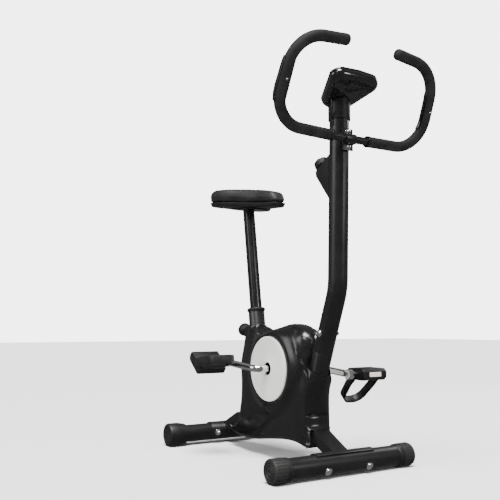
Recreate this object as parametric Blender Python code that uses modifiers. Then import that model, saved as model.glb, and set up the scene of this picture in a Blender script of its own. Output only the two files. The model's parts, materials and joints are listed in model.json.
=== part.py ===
"""Upright exercise bike: welded frame, belt-driven flywheel, saddle, handlebar and console.

Metres, +Z up, +X towards the handlebar end, +Y the rider's left, floor at z = 0.
Everything is placed from the middle of the two stabilisers; the last step moves
the whole bike so that the origin lies under the middle of its outer box.
"""

import math

import bmesh
import bpy
from mathutils import Matrix, Vector

# ---- driving dimensions ---------------------------------------------------
GAP = 0.0003  # clearance between pieces that touch
SLIDE = 0.0004  # clearance of a sliding or turning fit

STABILISER_SPACING = 0.556
STABILISER_LENGTH = 0.320  # bare tube between the end caps
STABILISER_RADIUS = 0.025
ROLLER_RADIUS = 0.0285
ROLLER_LENGTH = 0.034
ROLLER_HUB_LENGTH = 0.013
REAR_CAP_RADIUS = 0.033
REAR_CAP_LENGTH = 0.044
REAR_CAP_FLAT = 0.0006  # how much the flat under a rear cap takes off

BEAM_WIDTH = 0.044
BEAM_HEIGHT = 0.030
BEAM_HEIGHT_MID = 0.086  # height of the beam's centreline
SADDLE_PLATE = 0.003  # thickness of the plates that wrap the stabilisers

SEAT_TUBE_LEAN = 8.1  # degrees back from upright
SEAT_TUBE_X = -0.1121  # where its axis is at SEAT_TUBE_REF_Z
SEAT_TUBE_REF_Z = 0.4
SEAT_TUBE_RADIUS = 0.0235
SEAT_TUBE_WALL = 0.002
SEAT_TUBE_TOP = -0.008  # along its axis from the reference point
SEAT_TUBE_FOOT = -0.325
BUSH_COLLAR_RADIUS = 0.0265
BUSH_COLLAR_HEIGHT = 0.009
BUSH_DEPTH = 0.045
SEAT_POST_RADIUS = 0.0173
SEAT_POST_WALL = 0.002
POST_FIT = 0.0008  # between the post's bore and the stub inside it
SEAT_POST_INSERT = 0.155  # length below the reference point
SEAT_POST_TOP = 0.306
SEAT_HOLE_SPACING = 0.025
SEAT_HOLE_COUNT = 6
SEAT_HOLE_RADIUS = 0.0052
PIN_HEIGHT = -0.052  # of the pin's axis, along the seat tube
PIN_RADIUS = 0.0045
PIN_KNOB_RADIUS = 0.0195
PIN_KNOB_LENGTH = 0.042
PIN_SLEEVE_LENGTH = 0.034

SADDLE_TILT = 7.0  # degrees, nose down
SADDLE_REAR = 0.104  # behind the post's top
SADDLE_NOSE = 0.180  # in front of the post's top
SADDLE_HALF_WIDTH = 0.098
SADDLE_NOSE_HALF_WIDTH = 0.030
SADDLE_BASE_THICKNESS = 0.012
SADDLE_PAD_THICKNESS = 0.042
SADDLE_PLATE_THICKNESS = 0.004

CRANK_X = 0.042
CRANK_Z = 0.236
CRANK_ARM = 0.127
CRANK_ANGLE = 6.3  # right arm points back, this far above level
CRANK_ROD_RADIUS = 0.0092
CRANK_BEND_Y = 0.096
PEDAL_EYE_Y = 0.1136
PEDAL_EYE_RADIUS = 0.0135
BRACKET_RADIUS = 0.0235  # bottom bracket shell
BRACKET_HALF_WIDTH = 0.022
BRACKET_BEARING_WIDTH = 0.010
PULLEY_RADIUS = 0.052
PULLEY_WIDTH = 0.012
PULLEY_Y = -0.0345
BELT_THICKNESS = 0.003
BELT_WIDTH = 0.008

FLYWHEEL_X = 0.104
FLYWHEEL_Z = 0.283
FLYWHEEL_RADIUS = 0.061
FLYWHEEL_Y = 0.0245  # inner face
FLYWHEEL_THICKNESS = 0.013
FLY_SHAFT_RADIUS = 0.006
FLY_PULLEY_RADIUS = 0.013
FLY_HOUSING_RADIUS = 0.017
FLY_HOUSING_HALF_WIDTH = 0.0225

PEDAL_WIDTH = 0.080
PEDAL_LENGTH = 0.072
PEDAL_THICKNESS = 0.031
PEDAL_INNER_Y = 0.133
SPINDLE_RADIUS = 0.006
RIGHT_PEDAL_TURN = 142.0  # degrees about +Y, nose up
LEFT_PEDAL_TURN = 0.0
STRAP_DIRECTION = -135.0  # degrees in the pedal's own plane
STRAP_LENGTH = 0.102
STRAP_WIDTH = 0.024
STRAP_THICKNESS = 0.003

POST_RADIUS = 0.025
POST_WALL = 0.002
POST_SEAM_Z = 0.285  # where the post meets the frame's lower tube
POST_TOP_Z = 0.872
POST_STUB_LENGTH = 0.085
POST_BOLT_Z = 0.330
LOWER_LEAN = 22.0  # degrees of the post's lower part
POST_LOWER = (0.2022, 0.276)  # a point of its lower axis, x and z
POST_BEND_Z = 0.438  # where the lower and upper axes cross
POST_BEND_RADIUS = 0.16
POST_TOP_X = 0.2846

BAR_X = 0.3212
BAR_Z = 0.8018
BAR_LEAN = 24.7  # degrees forward
BAR_RADIUS = 0.0096
BAR_HALF_WIDTH = 0.230  # lower corners of the centreline's outline
BAR_UPPER_HALF_WIDTH = 0.214
BAR_HEIGHT = 0.2075
BAR_TIP_HALF_WIDTH = 0.078
BAR_TIP_HEIGHT = 0.2195
BAR_LOWER_BEND = 0.076
BAR_UPPER_BEND = 0.086
GRIP_RADIUS = 0.0137
GRIP_START = 0.055  # from the middle of the bar
GRIP_END_THICKNESS = 0.004
SENSOR_CENTRE = 0.100  # height of a pulse sensor above the bar's straight
SENSOR_LENGTH = 0.110
SENSOR_RADIUS = 0.0165

CLAMP_BOLT_RISE = 0.0192
CLAMP_HALF_WIDTH = 0.016
CLAMP_THICKNESS = 0.0025
CLAMP_FIT = 0.0007  # between the bar and its clamp

CABLE_OFFSET = 0.012  # the cable runs behind the post bolt
KNOB_X = 0.2143
KNOB_Z = 0.7605
KNOB_TILT = 30.0  # degrees back from upright
KNOB_RADIUS = 0.021
KNOB_HEIGHT = 0.020
HOUSING_TOP_Z = 0.756
HOUSING_FOOT_Z = 0.664
HOUSING_HALF_WIDTH = 0.019

CONSOLE_X = 0.3017  # centre of the face
CONSOLE_Z = 0.9294
CONSOLE_SLOPE = 24.0  # degrees of the face above level
CONSOLE_LENGTH = 0.116
CONSOLE_TOP_HALF_WIDTH = 0.066
CONSOLE_FOOT_HALF_WIDTH = 0.038
CONSOLE_CORNER = 0.014
CONSOLE_BACK_DEPTH = 0.022
CONSOLE_BACK_SHARE = 0.93  # size of the back panel against the face
CONSOLE_FACE_DEPTH = 0.007
CONSOLE_WALL = 0.0022
BRACKET_COLLAR_RADIUS = 0.0278
BRACKET_COLLAR_Z = 0.858
BRACKET_REACH = 0.048  # of the collar past the post's top, before the console trims it

SHROUD_HALF_WIDTH = 0.047
SHROUD_WALL = 0.0028
SHROUD_EDGE = 0.009  # rounding of its outer edges
SHROUD_RIM_SHARE = 1.6  # the rim wall is this much thicker than the side wall
SHROUD_FRONT_HALF_WIDTH = 0.0345
TAPER_START = 0.150  # where the sides start to close in on the front tube
NECK_START_X = -0.075  # where they start to close in on the seat tube
NECK_START_Z = 0.240
SHROUD_NECK_RADIUS = 0.0300
SHROUD_NECK_TOP = -0.053  # along the seat tube
DISC_RADIUS = 0.085
DISC_HOLE_RADIUS = 0.017
DISC_FACE_Y = 0.0600
DISC_THICKNESS = 0.003
BOSS_RADIUS = 0.092
COVER_TOP_Z = 0.244
COVER_FOOT_Z = 0.096

ROUND = 24  # sides of a large round piece
SMALL = 12  # sides of a small one

Z_AXIS = Vector((0, 0, 1))
Y_AXIS = Vector((0, 1, 0))
X_AXIS = Vector((1, 0, 0))


# ---- scene, materials and small tools -------------------------------------
def clear_scene():
    for item in list(bpy.data.objects):
        bpy.data.objects.remove(item, do_unlink=True)


def new_collection(name):
    group = bpy.data.collections.new(name)
    bpy.context.scene.collection.children.link(group)
    return group


def finish(name, colour, roughness, metallic):
    """A Principled material that pieces of the same finish share."""
    if name in bpy.data.materials:
        return bpy.data.materials[name]
    made = bpy.data.materials.new(name)
    made.use_nodes = True
    shader = made.node_tree.nodes["Principled BSDF"]
    shader.inputs["Base Color"].default_value = (*colour, 1)
    shader.inputs["Roughness"].default_value = roughness
    shader.inputs["Metallic"].default_value = metallic
    made.diffuse_color = (*colour, 1)
    return made


def black_steel():
    return finish("powder_coated_steel", (0.018, 0.018, 0.019), 0.35, 0.2)


def chrome():
    return finish("chrome", (0.82, 0.82, 0.83), 0.12, 1.0)


def steel():
    return finish("zinc_steel", (0.55, 0.55, 0.56), 0.35, 1.0)


def black_plastic():
    return finish("black_plastic", (0.02, 0.02, 0.021), 0.42, 0.0)


def white_plastic():
    return finish("silver_white_plastic", (0.72, 0.72, 0.70), 0.35, 0.1)


def black_rubber():
    return finish("black_rubber", (0.015, 0.015, 0.015), 0.8, 0.0)


def foam():
    return finish("black_foam", (0.02, 0.02, 0.02), 0.9, 0.0)


def vinyl():
    return finish("black_vinyl", (0.02, 0.02, 0.02), 0.55, 0.0)


def add_object(name, mesh, material, group):
    made = bpy.data.objects.new(name, mesh)
    mesh.materials.clear()
    if material:
        mesh.materials.append(material)
    group.objects.link(made)
    mesh.shade_smooth()
    mesh.set_sharp_from_angle(angle=math.radians(35))
    return made


def frame_to(centre, axis, across=None):
    """A matrix whose local Z runs along axis, placed at centre."""
    z = Vector(axis).normalized()
    hint = Vector(across) if across else (X_AXIS if abs(z.x) < 0.9 else Y_AXIS)
    x = (hint - z * hint.dot(z)).normalized()
    y = z.cross(x)
    turn = Matrix((x, y, z)).transposed().to_4x4()
    return Matrix.Translation(Vector(centre)) @ turn


def mesh_from(bm, name):
    bmesh.ops.recalc_face_normals(bm, faces=bm.faces)
    mesh = bpy.data.meshes.new(name)
    bm.to_mesh(mesh)
    bm.free()
    return mesh


def cylinder(name, start, end, radius, sides=SMALL, end_radius=None):
    """Mesh of a round bar, or a cone, between two points."""
    start, end = Vector(start), Vector(end)
    bm = bmesh.new()
    far = radius if end_radius is None else end_radius
    place = frame_to((start + end) / 2, end - start)
    bmesh.ops.create_cone(
        bm, cap_ends=True, segments=sides, radius1=radius, radius2=far,
        depth=(end - start).length, matrix=place,
    )
    return mesh_from(bm, name)


def box(name, size, place=None, bevel=0.0, segments=2):
    """Mesh of a box, with its edges rounded by bevel."""
    bm = bmesh.new()
    bmesh.ops.create_cube(bm, size=1)
    bmesh.ops.scale(bm, vec=Vector(size), verts=bm.verts)
    if bevel:
        bmesh.ops.bevel(
            bm, geom=bm.edges[:], offset=bevel, segments=segments, profile=0.5,
            affect="EDGES",
        )
    if place:
        bmesh.ops.transform(bm, matrix=place, verts=bm.verts)
    return mesh_from(bm, name)


def prism(name, outline, low, high, place=None, bevel=0.0, segments=2):
    """An outline in local XY, extruded from low to high along local Z."""
    bm = bmesh.new()
    ring = [bm.verts.new((x, y, low)) for x, y in outline]
    base = bm.faces.new(ring)
    grown = bmesh.ops.extrude_face_region(bm, geom=[base])
    top = [v for v in grown["geom"] if isinstance(v, bmesh.types.BMVert)]
    bmesh.ops.translate(bm, vec=(0, 0, high - low), verts=top)
    if bevel:
        rims = [e for e in bm.edges if abs(e.verts[0].co.z - e.verts[1].co.z) < 1e-7]
        bmesh.ops.bevel(
            bm, geom=rims, offset=bevel, segments=segments, profile=0.5, affect="EDGES",
        )
    if place:
        bmesh.ops.transform(bm, matrix=place, verts=bm.verts)
    return mesh_from(bm, name)


def evaluated_mesh(item, name):
    graph = bpy.context.evaluated_depsgraph_get()
    return bpy.data.meshes.new_from_object(item.evaluated_get(graph), depsgraph=graph)


def turned(name, profile, place, sides=ROUND):
    """A profile of (radius, height) points, top to bottom, turned about local Z."""
    mesh = bpy.data.meshes.new(name)
    points = [(r, 0, h) for r, h in profile]
    edges = [(i, i + 1) for i in range(len(points) - 1)]
    if profile[0][0] > 0:
        edges.append((len(points) - 1, 0))
    mesh.from_pydata(points, edges, [])
    item = bpy.data.objects.new(name, mesh)
    bpy.context.scene.collection.objects.link(item)
    screw = item.modifiers.new("turn", "SCREW")
    screw.steps = screw.render_steps = sides
    screw.use_merge_vertices = True
    screw.merge_threshold = 0.00001
    screw.use_normal_calculate = True
    bpy.context.view_layer.update()
    made = evaluated_mesh(item, name)
    bpy.data.objects.remove(item, do_unlink=True)
    bm = bmesh.new()
    bm.from_mesh(made)
    bmesh.ops.remove_doubles(bm, verts=bm.verts, dist=0.00001)
    bmesh.ops.transform(bm, matrix=place, verts=bm.verts)
    return mesh_from(bm, name)


def rounded_path(corners, radii, steps=6):
    """Corner points joined by straights and by arcs of the given radii."""
    points = [Vector(corners[0])]
    for i in range(1, len(corners) - 1):
        here = Vector(corners[i])
        back = (Vector(corners[i - 1]) - here).normalized()
        ahead = (Vector(corners[i + 1]) - here).normalized()
        half = back.angle(ahead) / 2
        reach = radii[i - 1] / math.tan(half)
        centre = here + (back + ahead).normalized() * (radii[i - 1] / math.sin(half))
        first = here + back * reach - centre
        last = here + ahead * reach - centre
        swing = first.angle(last)
        for k in range(steps + 1):
            part = k / steps
            a = math.sin((1 - part) * swing) / math.sin(swing)
            b = math.sin(part * swing) / math.sin(swing)
            points.append(centre + first * a + last * b)
    points.append(Vector(corners[-1]))
    return points


def sweep(name, points, radius, sides=12, caps=True):
    """A round rod or open skin along a path, made from a bevelled curve."""
    curve = bpy.data.curves.new(name, "CURVE")
    curve.dimensions = "3D"
    curve.bevel_depth = radius
    curve.bevel_resolution = max(sides // 4 - 1, 0)
    curve.use_fill_caps = caps
    line = curve.splines.new("POLY")
    line.points.add(len(points) - 1)
    for spot, point in zip(line.points, points):
        spot.co = (*point, 1)
    item = bpy.data.objects.new(name, curve)
    bpy.context.scene.collection.objects.link(item)
    bpy.context.view_layer.update()
    mesh = evaluated_mesh(item, name)
    bpy.data.objects.remove(item, do_unlink=True)
    bm = bmesh.new()
    bm.from_mesh(mesh)
    bmesh.ops.remove_doubles(bm, verts=bm.verts, dist=0.00001)
    return mesh_from(bm, name)


class Workshop:
    """Keeps the two collections and makes pieces and cuts in them."""

    def __init__(self):
        self.pieces = new_collection("exercise_bike")
        self.cutters = new_collection("cutters")
        self.solver = "EXACT"  # MANIFOLD while the thin-walled shroud is cut

    def piece(self, name, mesh, material):
        return add_object(name, mesh, material, self.pieces)

    def _tool(self, item, mesh, operation):
        tool = bpy.data.objects.new("tool_" + item.name, mesh)
        self.cutters.objects.link(tool)
        tool.hide_render = True
        tool.display_type = "WIRE"
        step = item.modifiers.new(operation.lower(), "BOOLEAN")
        step.operation = operation
        step.solver = self.solver
        step.object = tool
        return tool

    def cut(self, item, *meshes):
        for mesh in meshes:
            self._tool(item, mesh, "DIFFERENCE")

    def join(self, item, *meshes):
        for mesh in meshes:
            self._tool(item, mesh, "UNION")

    def bake(self, item):
        """Apply an object's cuts, so that other work can follow on its mesh."""
        bpy.context.view_layer.update()
        mesh = evaluated_mesh(item, item.name)
        item.modifiers.clear()
        old = item.data
        item.data = mesh
        bpy.data.meshes.remove(old)
        item.data.shade_smooth()
        item.data.set_sharp_from_angle(angle=math.radians(35))


def carried_by(name, origin, items):
    """An empty on a joint's axis that carries the pieces of one moving body."""
    hub = bpy.data.objects.new(name, None)
    hub.empty_display_size = 0.03
    bpy.data.collections["exercise_bike"].objects.link(hub)
    hub.location = origin
    for item in items:
        item.parent = hub
        item.matrix_parent_inverse = Matrix.Translation(-Vector(origin))
    return hub


# ---- places worked out from the driving dimensions -------------------------
FRONT_X = STABILISER_SPACING / 2
REAR_X = -STABILISER_SPACING / 2
FRONT_Z = ROLLER_RADIUS
REAR_Z = REAR_CAP_RADIUS - REAR_CAP_FLAT

SEAT_DIR = Vector((-math.sin(math.radians(SEAT_TUBE_LEAN)), 0, math.cos(math.radians(SEAT_TUBE_LEAN))))
PIN_DIR = Vector((-SEAT_DIR.z, 0, SEAT_DIR.x))  # out of the seat tube, backwards


def seat_axis(along):
    return Vector((SEAT_TUBE_X, 0, SEAT_TUBE_REF_Z)) + SEAT_DIR * along


LOWER_DIR = Vector((math.sin(math.radians(LOWER_LEAN)), 0, math.cos(math.radians(LOWER_LEAN))))


def lower_post(z):
    """Point of the handlebar post's lower axis at height z."""
    return Vector((POST_LOWER[0] + (z - POST_LOWER[1]) * LOWER_DIR.x / LOWER_DIR.z, 0, z))


CRANK_CENTRE = Vector((CRANK_X, 0, CRANK_Z))
FLY_CENTRE = Vector((FLYWHEEL_X, 0, FLYWHEEL_Z))
ARM_DIR = Vector((-math.cos(math.radians(CRANK_ANGLE)), 0, math.sin(math.radians(CRANK_ANGLE))))


def pedal_centre(side):
    """Pedal axis point at the crank's eye; side is -1 for right, +1 for left."""
    return CRANK_CENTRE + ARM_DIR * (CRANK_ARM * -side) + Y_AXIS * (side * PEDAL_EYE_Y)


BAR_CENTRE = Vector((BAR_X, 0, BAR_Z))
BAR_UP = Vector((math.sin(math.radians(BAR_LEAN)), 0, math.cos(math.radians(BAR_LEAN))))
KNOB_DIR = Vector((-math.sin(math.radians(KNOB_TILT)), 0, math.cos(math.radians(KNOB_TILT))))
KNOB_CENTRE = Vector((KNOB_X, 0, KNOB_Z))


# ---- base: stabilisers, caps, rollers --------------------------------------
def stabiliser(shop, name, x, z, plug_radius, plug_length):
    """Round cross tube; at the front each end is swaged to a spigot for the roller."""
    half = STABILISER_LENGTH / 2
    profile = [
        (0, half + plug_length), (plug_radius, half + plug_length), (plug_radius, half),
        (STABILISER_RADIUS, half), (STABILISER_RADIUS, -half), (plug_radius, -half),
        (plug_radius, -half - plug_length), (0, -half - plug_length),
    ]
    mesh = turned(name, profile, frame_to((x, 0, z), Y_AXIS), ROUND)
    return shop.piece(name, mesh, black_steel())


def rear_cap(shop, name, side):
    """Large end cap with a sloped shoulder and a flat underneath that stands on the floor."""
    start = STABILISER_LENGTH / 2 - 0.012
    end = start + 0.012 + REAR_CAP_LENGTH
    inner = STABILISER_RADIUS + SLIDE
    floor = STABILISER_LENGTH / 2 + GAP
    profile = [
        (0, end), (REAR_CAP_RADIUS - 0.006, end), (REAR_CAP_RADIUS, end - 0.006),
        (REAR_CAP_RADIUS, start + 0.022), (inner + 0.003, start), (inner, start),
        (inner, floor), (0.0158, floor), (0.0158, floor + 0.0345), (0, floor + 0.0345),
    ]
    centre = (REAR_X, 0, REAR_Z)
    mesh = turned(name, profile, frame_to(centre, Y_AXIS * side), ROUND)
    cap = shop.piece(name, mesh, black_plastic())
    under = box("flat", (0.2, 0.2, 0.02), Matrix.Translation((REAR_X, side * end, -0.01)))
    shop.cut(cap, under)
    return cap


def roller_hub(shop, name, side):
    """Fixed collar between the front tube and its transport roller."""
    start = STABILISER_LENGTH / 2 + GAP
    end = start + ROLLER_HUB_LENGTH
    spigot = 0.015 + SLIDE
    profile = [
        (spigot, end), (ROLLER_RADIUS - 0.001, end), (ROLLER_RADIUS - 0.001, start),
        (spigot, start),
    ]
    mesh = turned(name, profile, frame_to((FRONT_X, 0, FRONT_Z), Y_AXIS * side), ROUND)
    return shop.piece(name, mesh, black_plastic())


def roller(shop, name, side):
    """Transport roller: a ribbed cap that turns on the front tube's spigot."""
    start = STABILISER_LENGTH / 2 + ROLLER_HUB_LENGTH + 3 * GAP
    end = start + ROLLER_LENGTH
    spigot = 0.015 + SLIDE
    depth = ROLLER_LENGTH - 0.005
    profile = [(0, end), (ROLLER_RADIUS - 0.004, end), (ROLLER_RADIUS, end - 0.004)]
    profile += [
        (ROLLER_RADIUS, start), (spigot, start), (spigot, start + depth), (0, start + depth),
    ]
    mesh = turned(name, profile, frame_to((FRONT_X, 0, FRONT_Z), Y_AXIS * side), ROUND)
    return shop.piece(name, mesh, black_plastic())


def saddle_outline(sweep_from, sweep_to, inner, outer, steps=10):
    """Part of a pipe wall in section, between two angles in degrees."""
    angles = [math.radians(sweep_from + (sweep_to - sweep_from) * i / steps) for i in range(steps + 1)]
    outside = [(outer * math.cos(a), outer * math.sin(a)) for a in angles]
    inside = [(inner * math.cos(a), inner * math.sin(a)) for a in reversed(angles)]
    return outside + inside


def bolt(shop, name, centre, direction, reach, head_radius=0.0085, nut_radius=0.0085):
    """Domed bolt through a tube with its nut; head towards direction."""
    shank = 0.0038
    rise = 0.0045
    head_at, nut_at = reach
    profile = [(0, head_at + rise), (head_radius * 0.6, head_at + rise * 0.8)]
    profile += [(head_radius, head_at), (shank, head_at), (shank, -nut_at)]
    profile += [(nut_radius, -nut_at), (nut_radius, -nut_at - 0.005)]
    profile += [(nut_radius * 0.6, -nut_at - 0.009), (0, -nut_at - 0.010)]
    mesh = turned(name, profile, frame_to(centre, direction), 10)
    return shop.piece(name, mesh, chrome())


FOOT_BOLT_Y = 0.0615
REAR_BOLT_Y = 0.050
FRONT_BOLT_TILT = -26.0
REAR_BOLT_TILT = 0.0


def foot_bolt_dir(tilt):
    return Vector((math.cos(math.radians(tilt)), 0, math.sin(math.radians(tilt))))


def build_base(shop):
    front = stabiliser(shop, "front_stabiliser", FRONT_X, FRONT_Z, 0.015, ROLLER_HUB_LENGTH + 0.027)
    rear = stabiliser(shop, "rear_stabiliser", REAR_X, REAR_Z, 0.0155, 0.032)
    for label, side in (("right", -1), ("left", 1)):
        rear_cap(shop, f"rear_cap_{label}", side)
        roller_hub(shop, f"roller_hub_{label}", side)
        wheel = roller(shop, f"roller_{label}", side)
        carried_by(f"roller_{label}_axis", (FRONT_X, side * STABILISER_LENGTH / 2, FRONT_Z), [wheel])
        hole = 0.0038 + SLIDE
        at = Vector((FRONT_X, side * FOOT_BOLT_Y, FRONT_Z))
        way = foot_bolt_dir(FRONT_BOLT_TILT)
        shop.cut(front, cylinder("hole", at - way * 0.04, at + way * 0.04, hole))
        plate = STABILISER_RADIUS + SADDLE_PLATE + 2 * GAP
        bolt(shop, f"front_bolt_{label}", at, way, (STABILISER_RADIUS + GAP, plate + GAP))
        at = Vector((REAR_X, side * REAR_BOLT_Y, REAR_Z))
        way = -foot_bolt_dir(REAR_BOLT_TILT)
        shop.cut(rear, cylinder("hole", at - way * 0.04, at + way * 0.04, hole))
        bolt(shop, f"rear_bolt_{label}", at, way, (STABILISER_RADIUS + GAP, plate + GAP))


# ---- welded main frame ------------------------------------------------------
def beam_outline():
    """Side view of the base beam, whose ends slope down to the stabilisers."""
    half = BEAM_HEIGHT / 2
    top, foot = BEAM_HEIGHT_MID + half, BEAM_HEIGHT_MID - half
    rear_top, front_top = REAR_Z + STABILISER_RADIUS, FRONT_Z + STABILISER_RADIUS
    return [
        (REAR_X + 0.010, rear_top + 0.0008), (REAR_X + 0.029, REAR_Z + 0.002), (-0.185, foot - 0.006),
        (-0.150, foot), (0.150, foot), (0.190, foot - 0.010),
        (FRONT_X - 0.0285, FRONT_Z + 0.004), (FRONT_X - 0.010, front_top + 0.0008),
        (0.190, top - 0.006), (0.160, top), (-0.150, top), (-0.185, top - 0.004),
    ]


def build_frame(shop):
    """Beam, seat tube, bottom bracket, flywheel housing and lower post in one weldment."""
    side_on = frame_to((0, 0, 0), -Y_AXIS, X_AXIS)
    half = BEAM_WIDTH / 2
    frame = shop.piece(
        "main_frame", prism("main_frame", beam_outline(), -half, half, side_on), black_steel()
    )
    foot = seat_axis(SEAT_TUBE_FOOT)
    top = seat_axis(SEAT_TUBE_TOP)
    shop.join(frame, cylinder("seat_tube", foot, top, SEAT_TUBE_RADIUS, ROUND))
    sleeve = seat_axis(PIN_HEIGHT)
    sleeve_end = SEAT_TUBE_RADIUS + PIN_SLEEVE_LENGTH - 0.006
    shop.join(frame, cylinder("sleeve", sleeve + PIN_DIR * 0.019, sleeve + PIN_DIR * sleeve_end, 0.0115))
    low = lower_post(BEAM_HEIGHT_MID - 0.004)
    seam = lower_post(POST_SEAM_Z)
    shop.join(frame, cylinder("lower_post", low, seam, POST_RADIUS, ROUND))
    stub = POST_RADIUS - POST_WALL - POST_FIT
    stub_end = seam + LOWER_DIR * POST_STUB_LENGTH
    shop.join(frame, cylinder("stub", seam - LOWER_DIR * 0.01, stub_end, stub, ROUND))
    brace_start = seat_axis((CRANK_Z - SEAT_TUBE_REF_Z) / SEAT_DIR.z)
    shop.join(frame, cylinder("brace", brace_start, lower_post(CRANK_Z), 0.014, SMALL))
    reach = Y_AXIS * BRACKET_HALF_WIDTH
    shop.join(frame, cylinder("shell", CRANK_CENTRE - reach, CRANK_CENTRE + reach, BRACKET_RADIUS, ROUND))
    middle = (CRANK_CENTRE + FLY_CENTRE) / 2 + X_AXIS * 0.022
    web = box("web", (0.066, 0.010, 0.056), Matrix.Translation(middle + Vector((0, 0, -0.004))))
    shop.join(frame, web)
    reach = Y_AXIS * FLY_HOUSING_HALF_WIDTH
    shop.join(frame, cylinder("housing", FLY_CENTRE - reach, FLY_CENTRE + reach, FLY_HOUSING_RADIUS, ROUND))
    for x, z, start, stop, width in (
        (FRONT_X, FRONT_Z, 60, 215, 0.085), (REAR_X, REAR_Z, -35, 120, 0.066),
    ):
        outer = STABILISER_RADIUS + SADDLE_PLATE + GAP
        wrap = saddle_outline(start, stop, STABILISER_RADIUS - 0.001, outer)
        shop.join(frame, prism("wrap", wrap, -width, width, frame_to((x, 0, z), -Y_AXIS, X_AXIS)))
    for x, z in ((FRONT_X, FRONT_Z), (REAR_X, REAR_Z)):
        reach = Y_AXIS * 0.3
        at = Vector((x, 0, z))
        shop.cut(frame, cylinder("tube", at - reach, at + reach, STABILISER_RADIUS + GAP, ROUND))
    bore = SEAT_TUBE_RADIUS - SEAT_TUBE_WALL
    shop.cut(frame, cylinder("bore", seat_axis(SEAT_TUBE_FOOT + 0.05), seat_axis(0.02), bore, ROUND))
    inside = POST_RADIUS - 2 * POST_WALL - POST_FIT
    shop.cut(frame, cylinder("bore", low + LOWER_DIR * 0.03, seam + LOWER_DIR * 0.12, inside, 24))
    shop.cut(frame, cylinder("pin", sleeve, sleeve + PIN_DIR * 0.08, PIN_RADIUS + SLIDE))
    spring_room = sleeve + PIN_DIR * (SEAT_TUBE_RADIUS + 0.006)
    shop.cut(frame, cylinder("spring", spring_room, sleeve + PIN_DIR * 0.08, 0.0088))
    reach = Y_AXIS * 0.05
    shop.cut(frame, cylinder("axle", CRANK_CENTRE - reach, CRANK_CENTRE + reach, 0.0112, 24))
    cup = FLY_HOUSING_RADIUS - 0.0025
    shop.cut(frame, cylinder("cup", FLY_CENTRE - reach, FLY_CENTRE + reach, cup, 24))
    for side in (-1, 1):
        seat = Y_AXIS * side * (BRACKET_HALF_WIDTH - BRACKET_BEARING_WIDTH - GAP)
        out = CRANK_CENTRE + Y_AXIS * side * 0.05
        shop.cut(frame, cylinder("cup", CRANK_CENTRE + seat, out, BRACKET_RADIUS - 0.0035, ROUND))
        way = foot_bolt_dir(FRONT_BOLT_TILT)
        at = Vector((FRONT_X, side * FOOT_BOLT_Y, FRONT_Z))
        shop.cut(frame, cylinder("hole", at - way * 0.05, at, 0.0038 + SLIDE))
        at = Vector((REAR_X, side * REAR_BOLT_Y, REAR_Z))
        shop.cut(frame, cylinder("hole", at, at + X_AXIS * 0.05, 0.0038 + SLIDE))
    at = lower_post(POST_BOLT_Z)
    shop.cut(frame, cylinder("hole", at - Y_AXIS * 0.04, at + Y_AXIS * 0.04, 0.0038 + SLIDE))
    shop.bake(frame)
    return frame


def bearing(shop, name, centre, y, width, bore, radius):
    profile = [(bore, width / 2), (radius, width / 2), (radius, -width / 2), (bore, -width / 2)]
    place = frame_to(Vector(centre) + Y_AXIS * y, Y_AXIS)
    return shop.piece(name, turned(name, profile, place, 24), steel())


# ---- drive: crank, pulleys, belt, flywheel, brake ---------------------------
def crank_path(side):
    eye = pedal_centre(side)
    inward = (CRANK_CENTRE - eye)
    inward.y = 0
    short = eye + inward.normalized() * (PEDAL_EYE_RADIUS - 0.004)
    short.y = side * (PEDAL_EYE_Y - 0.001)
    return [
        CRANK_CENTRE + Y_AXIS * side * 0.0, CRANK_CENTRE + Y_AXIS * side * CRANK_BEND_Y, short,
    ]


def build_crank(shop):
    """One-piece crank: a bent rod with an eye at each end, its pulley and spindles."""
    right = rounded_path(crank_path(-1), [0.026])
    left = rounded_path(crank_path(1), [0.026])
    path = list(reversed(right)) + left[1:]
    crank = shop.piece("crank", sweep("crank", path, CRANK_ROD_RADIUS, 12), chrome())
    pieces = [crank]
    for label, side in (("right", -1), ("left", 1)):
        eye = pedal_centre(side)
        half = Y_AXIS * 0.0062
        shop.join(crank, cylinder("eye", eye - half, eye + half, PEDAL_EYE_RADIUS, 24))
        shop.cut(crank, cylinder("thread", eye - half * 2, eye + half * 2, 0.0063 + GAP, SMALL))
        inner = PEDAL_EYE_Y - 0.0062
        profile = [
            (0, PEDAL_INNER_Y + PEDAL_WIDTH - 0.012), (SPINDLE_RADIUS, PEDAL_INNER_Y + PEDAL_WIDTH - 0.012),
            (SPINDLE_RADIUS, PEDAL_INNER_Y - 0.006), (0.0088, PEDAL_INNER_Y - 0.006),
            (0.0088, PEDAL_EYE_Y + 0.0062 + GAP), (SPINDLE_RADIUS, PEDAL_EYE_Y + 0.0062 + GAP),
            (SPINDLE_RADIUS, inner), (0, inner),
        ]
        base = Vector((eye.x, 0, eye.z))
        mesh = turned(f"pedal_spindle_{label}", profile, frame_to(base, Y_AXIS * side), SMALL)
        pieces.append(shop.piece(f"pedal_spindle_{label}", mesh, steel()))
    shop.bake(crank)
    groove = PULLEY_RADIUS - BELT_THICKNESS
    bore = CRANK_ROD_RADIUS + GAP
    half = PULLEY_WIDTH / 2
    profile = [
        (bore, half), (PULLEY_RADIUS, half), (PULLEY_RADIUS, half - 0.0015), (groove, half - 0.0015),
        (groove, -half + 0.0015), (PULLEY_RADIUS, -half + 0.0015), (PULLEY_RADIUS, -half), (bore, -half),
    ]
    mesh = turned("drive_pulley", profile, frame_to(CRANK_CENTRE + Y_AXIS * PULLEY_Y, Y_AXIS), ROUND)
    pieces.append(shop.piece("drive_pulley", mesh, black_plastic()))
    carried_by("crank_axis", CRANK_CENTRE, pieces)


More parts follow.
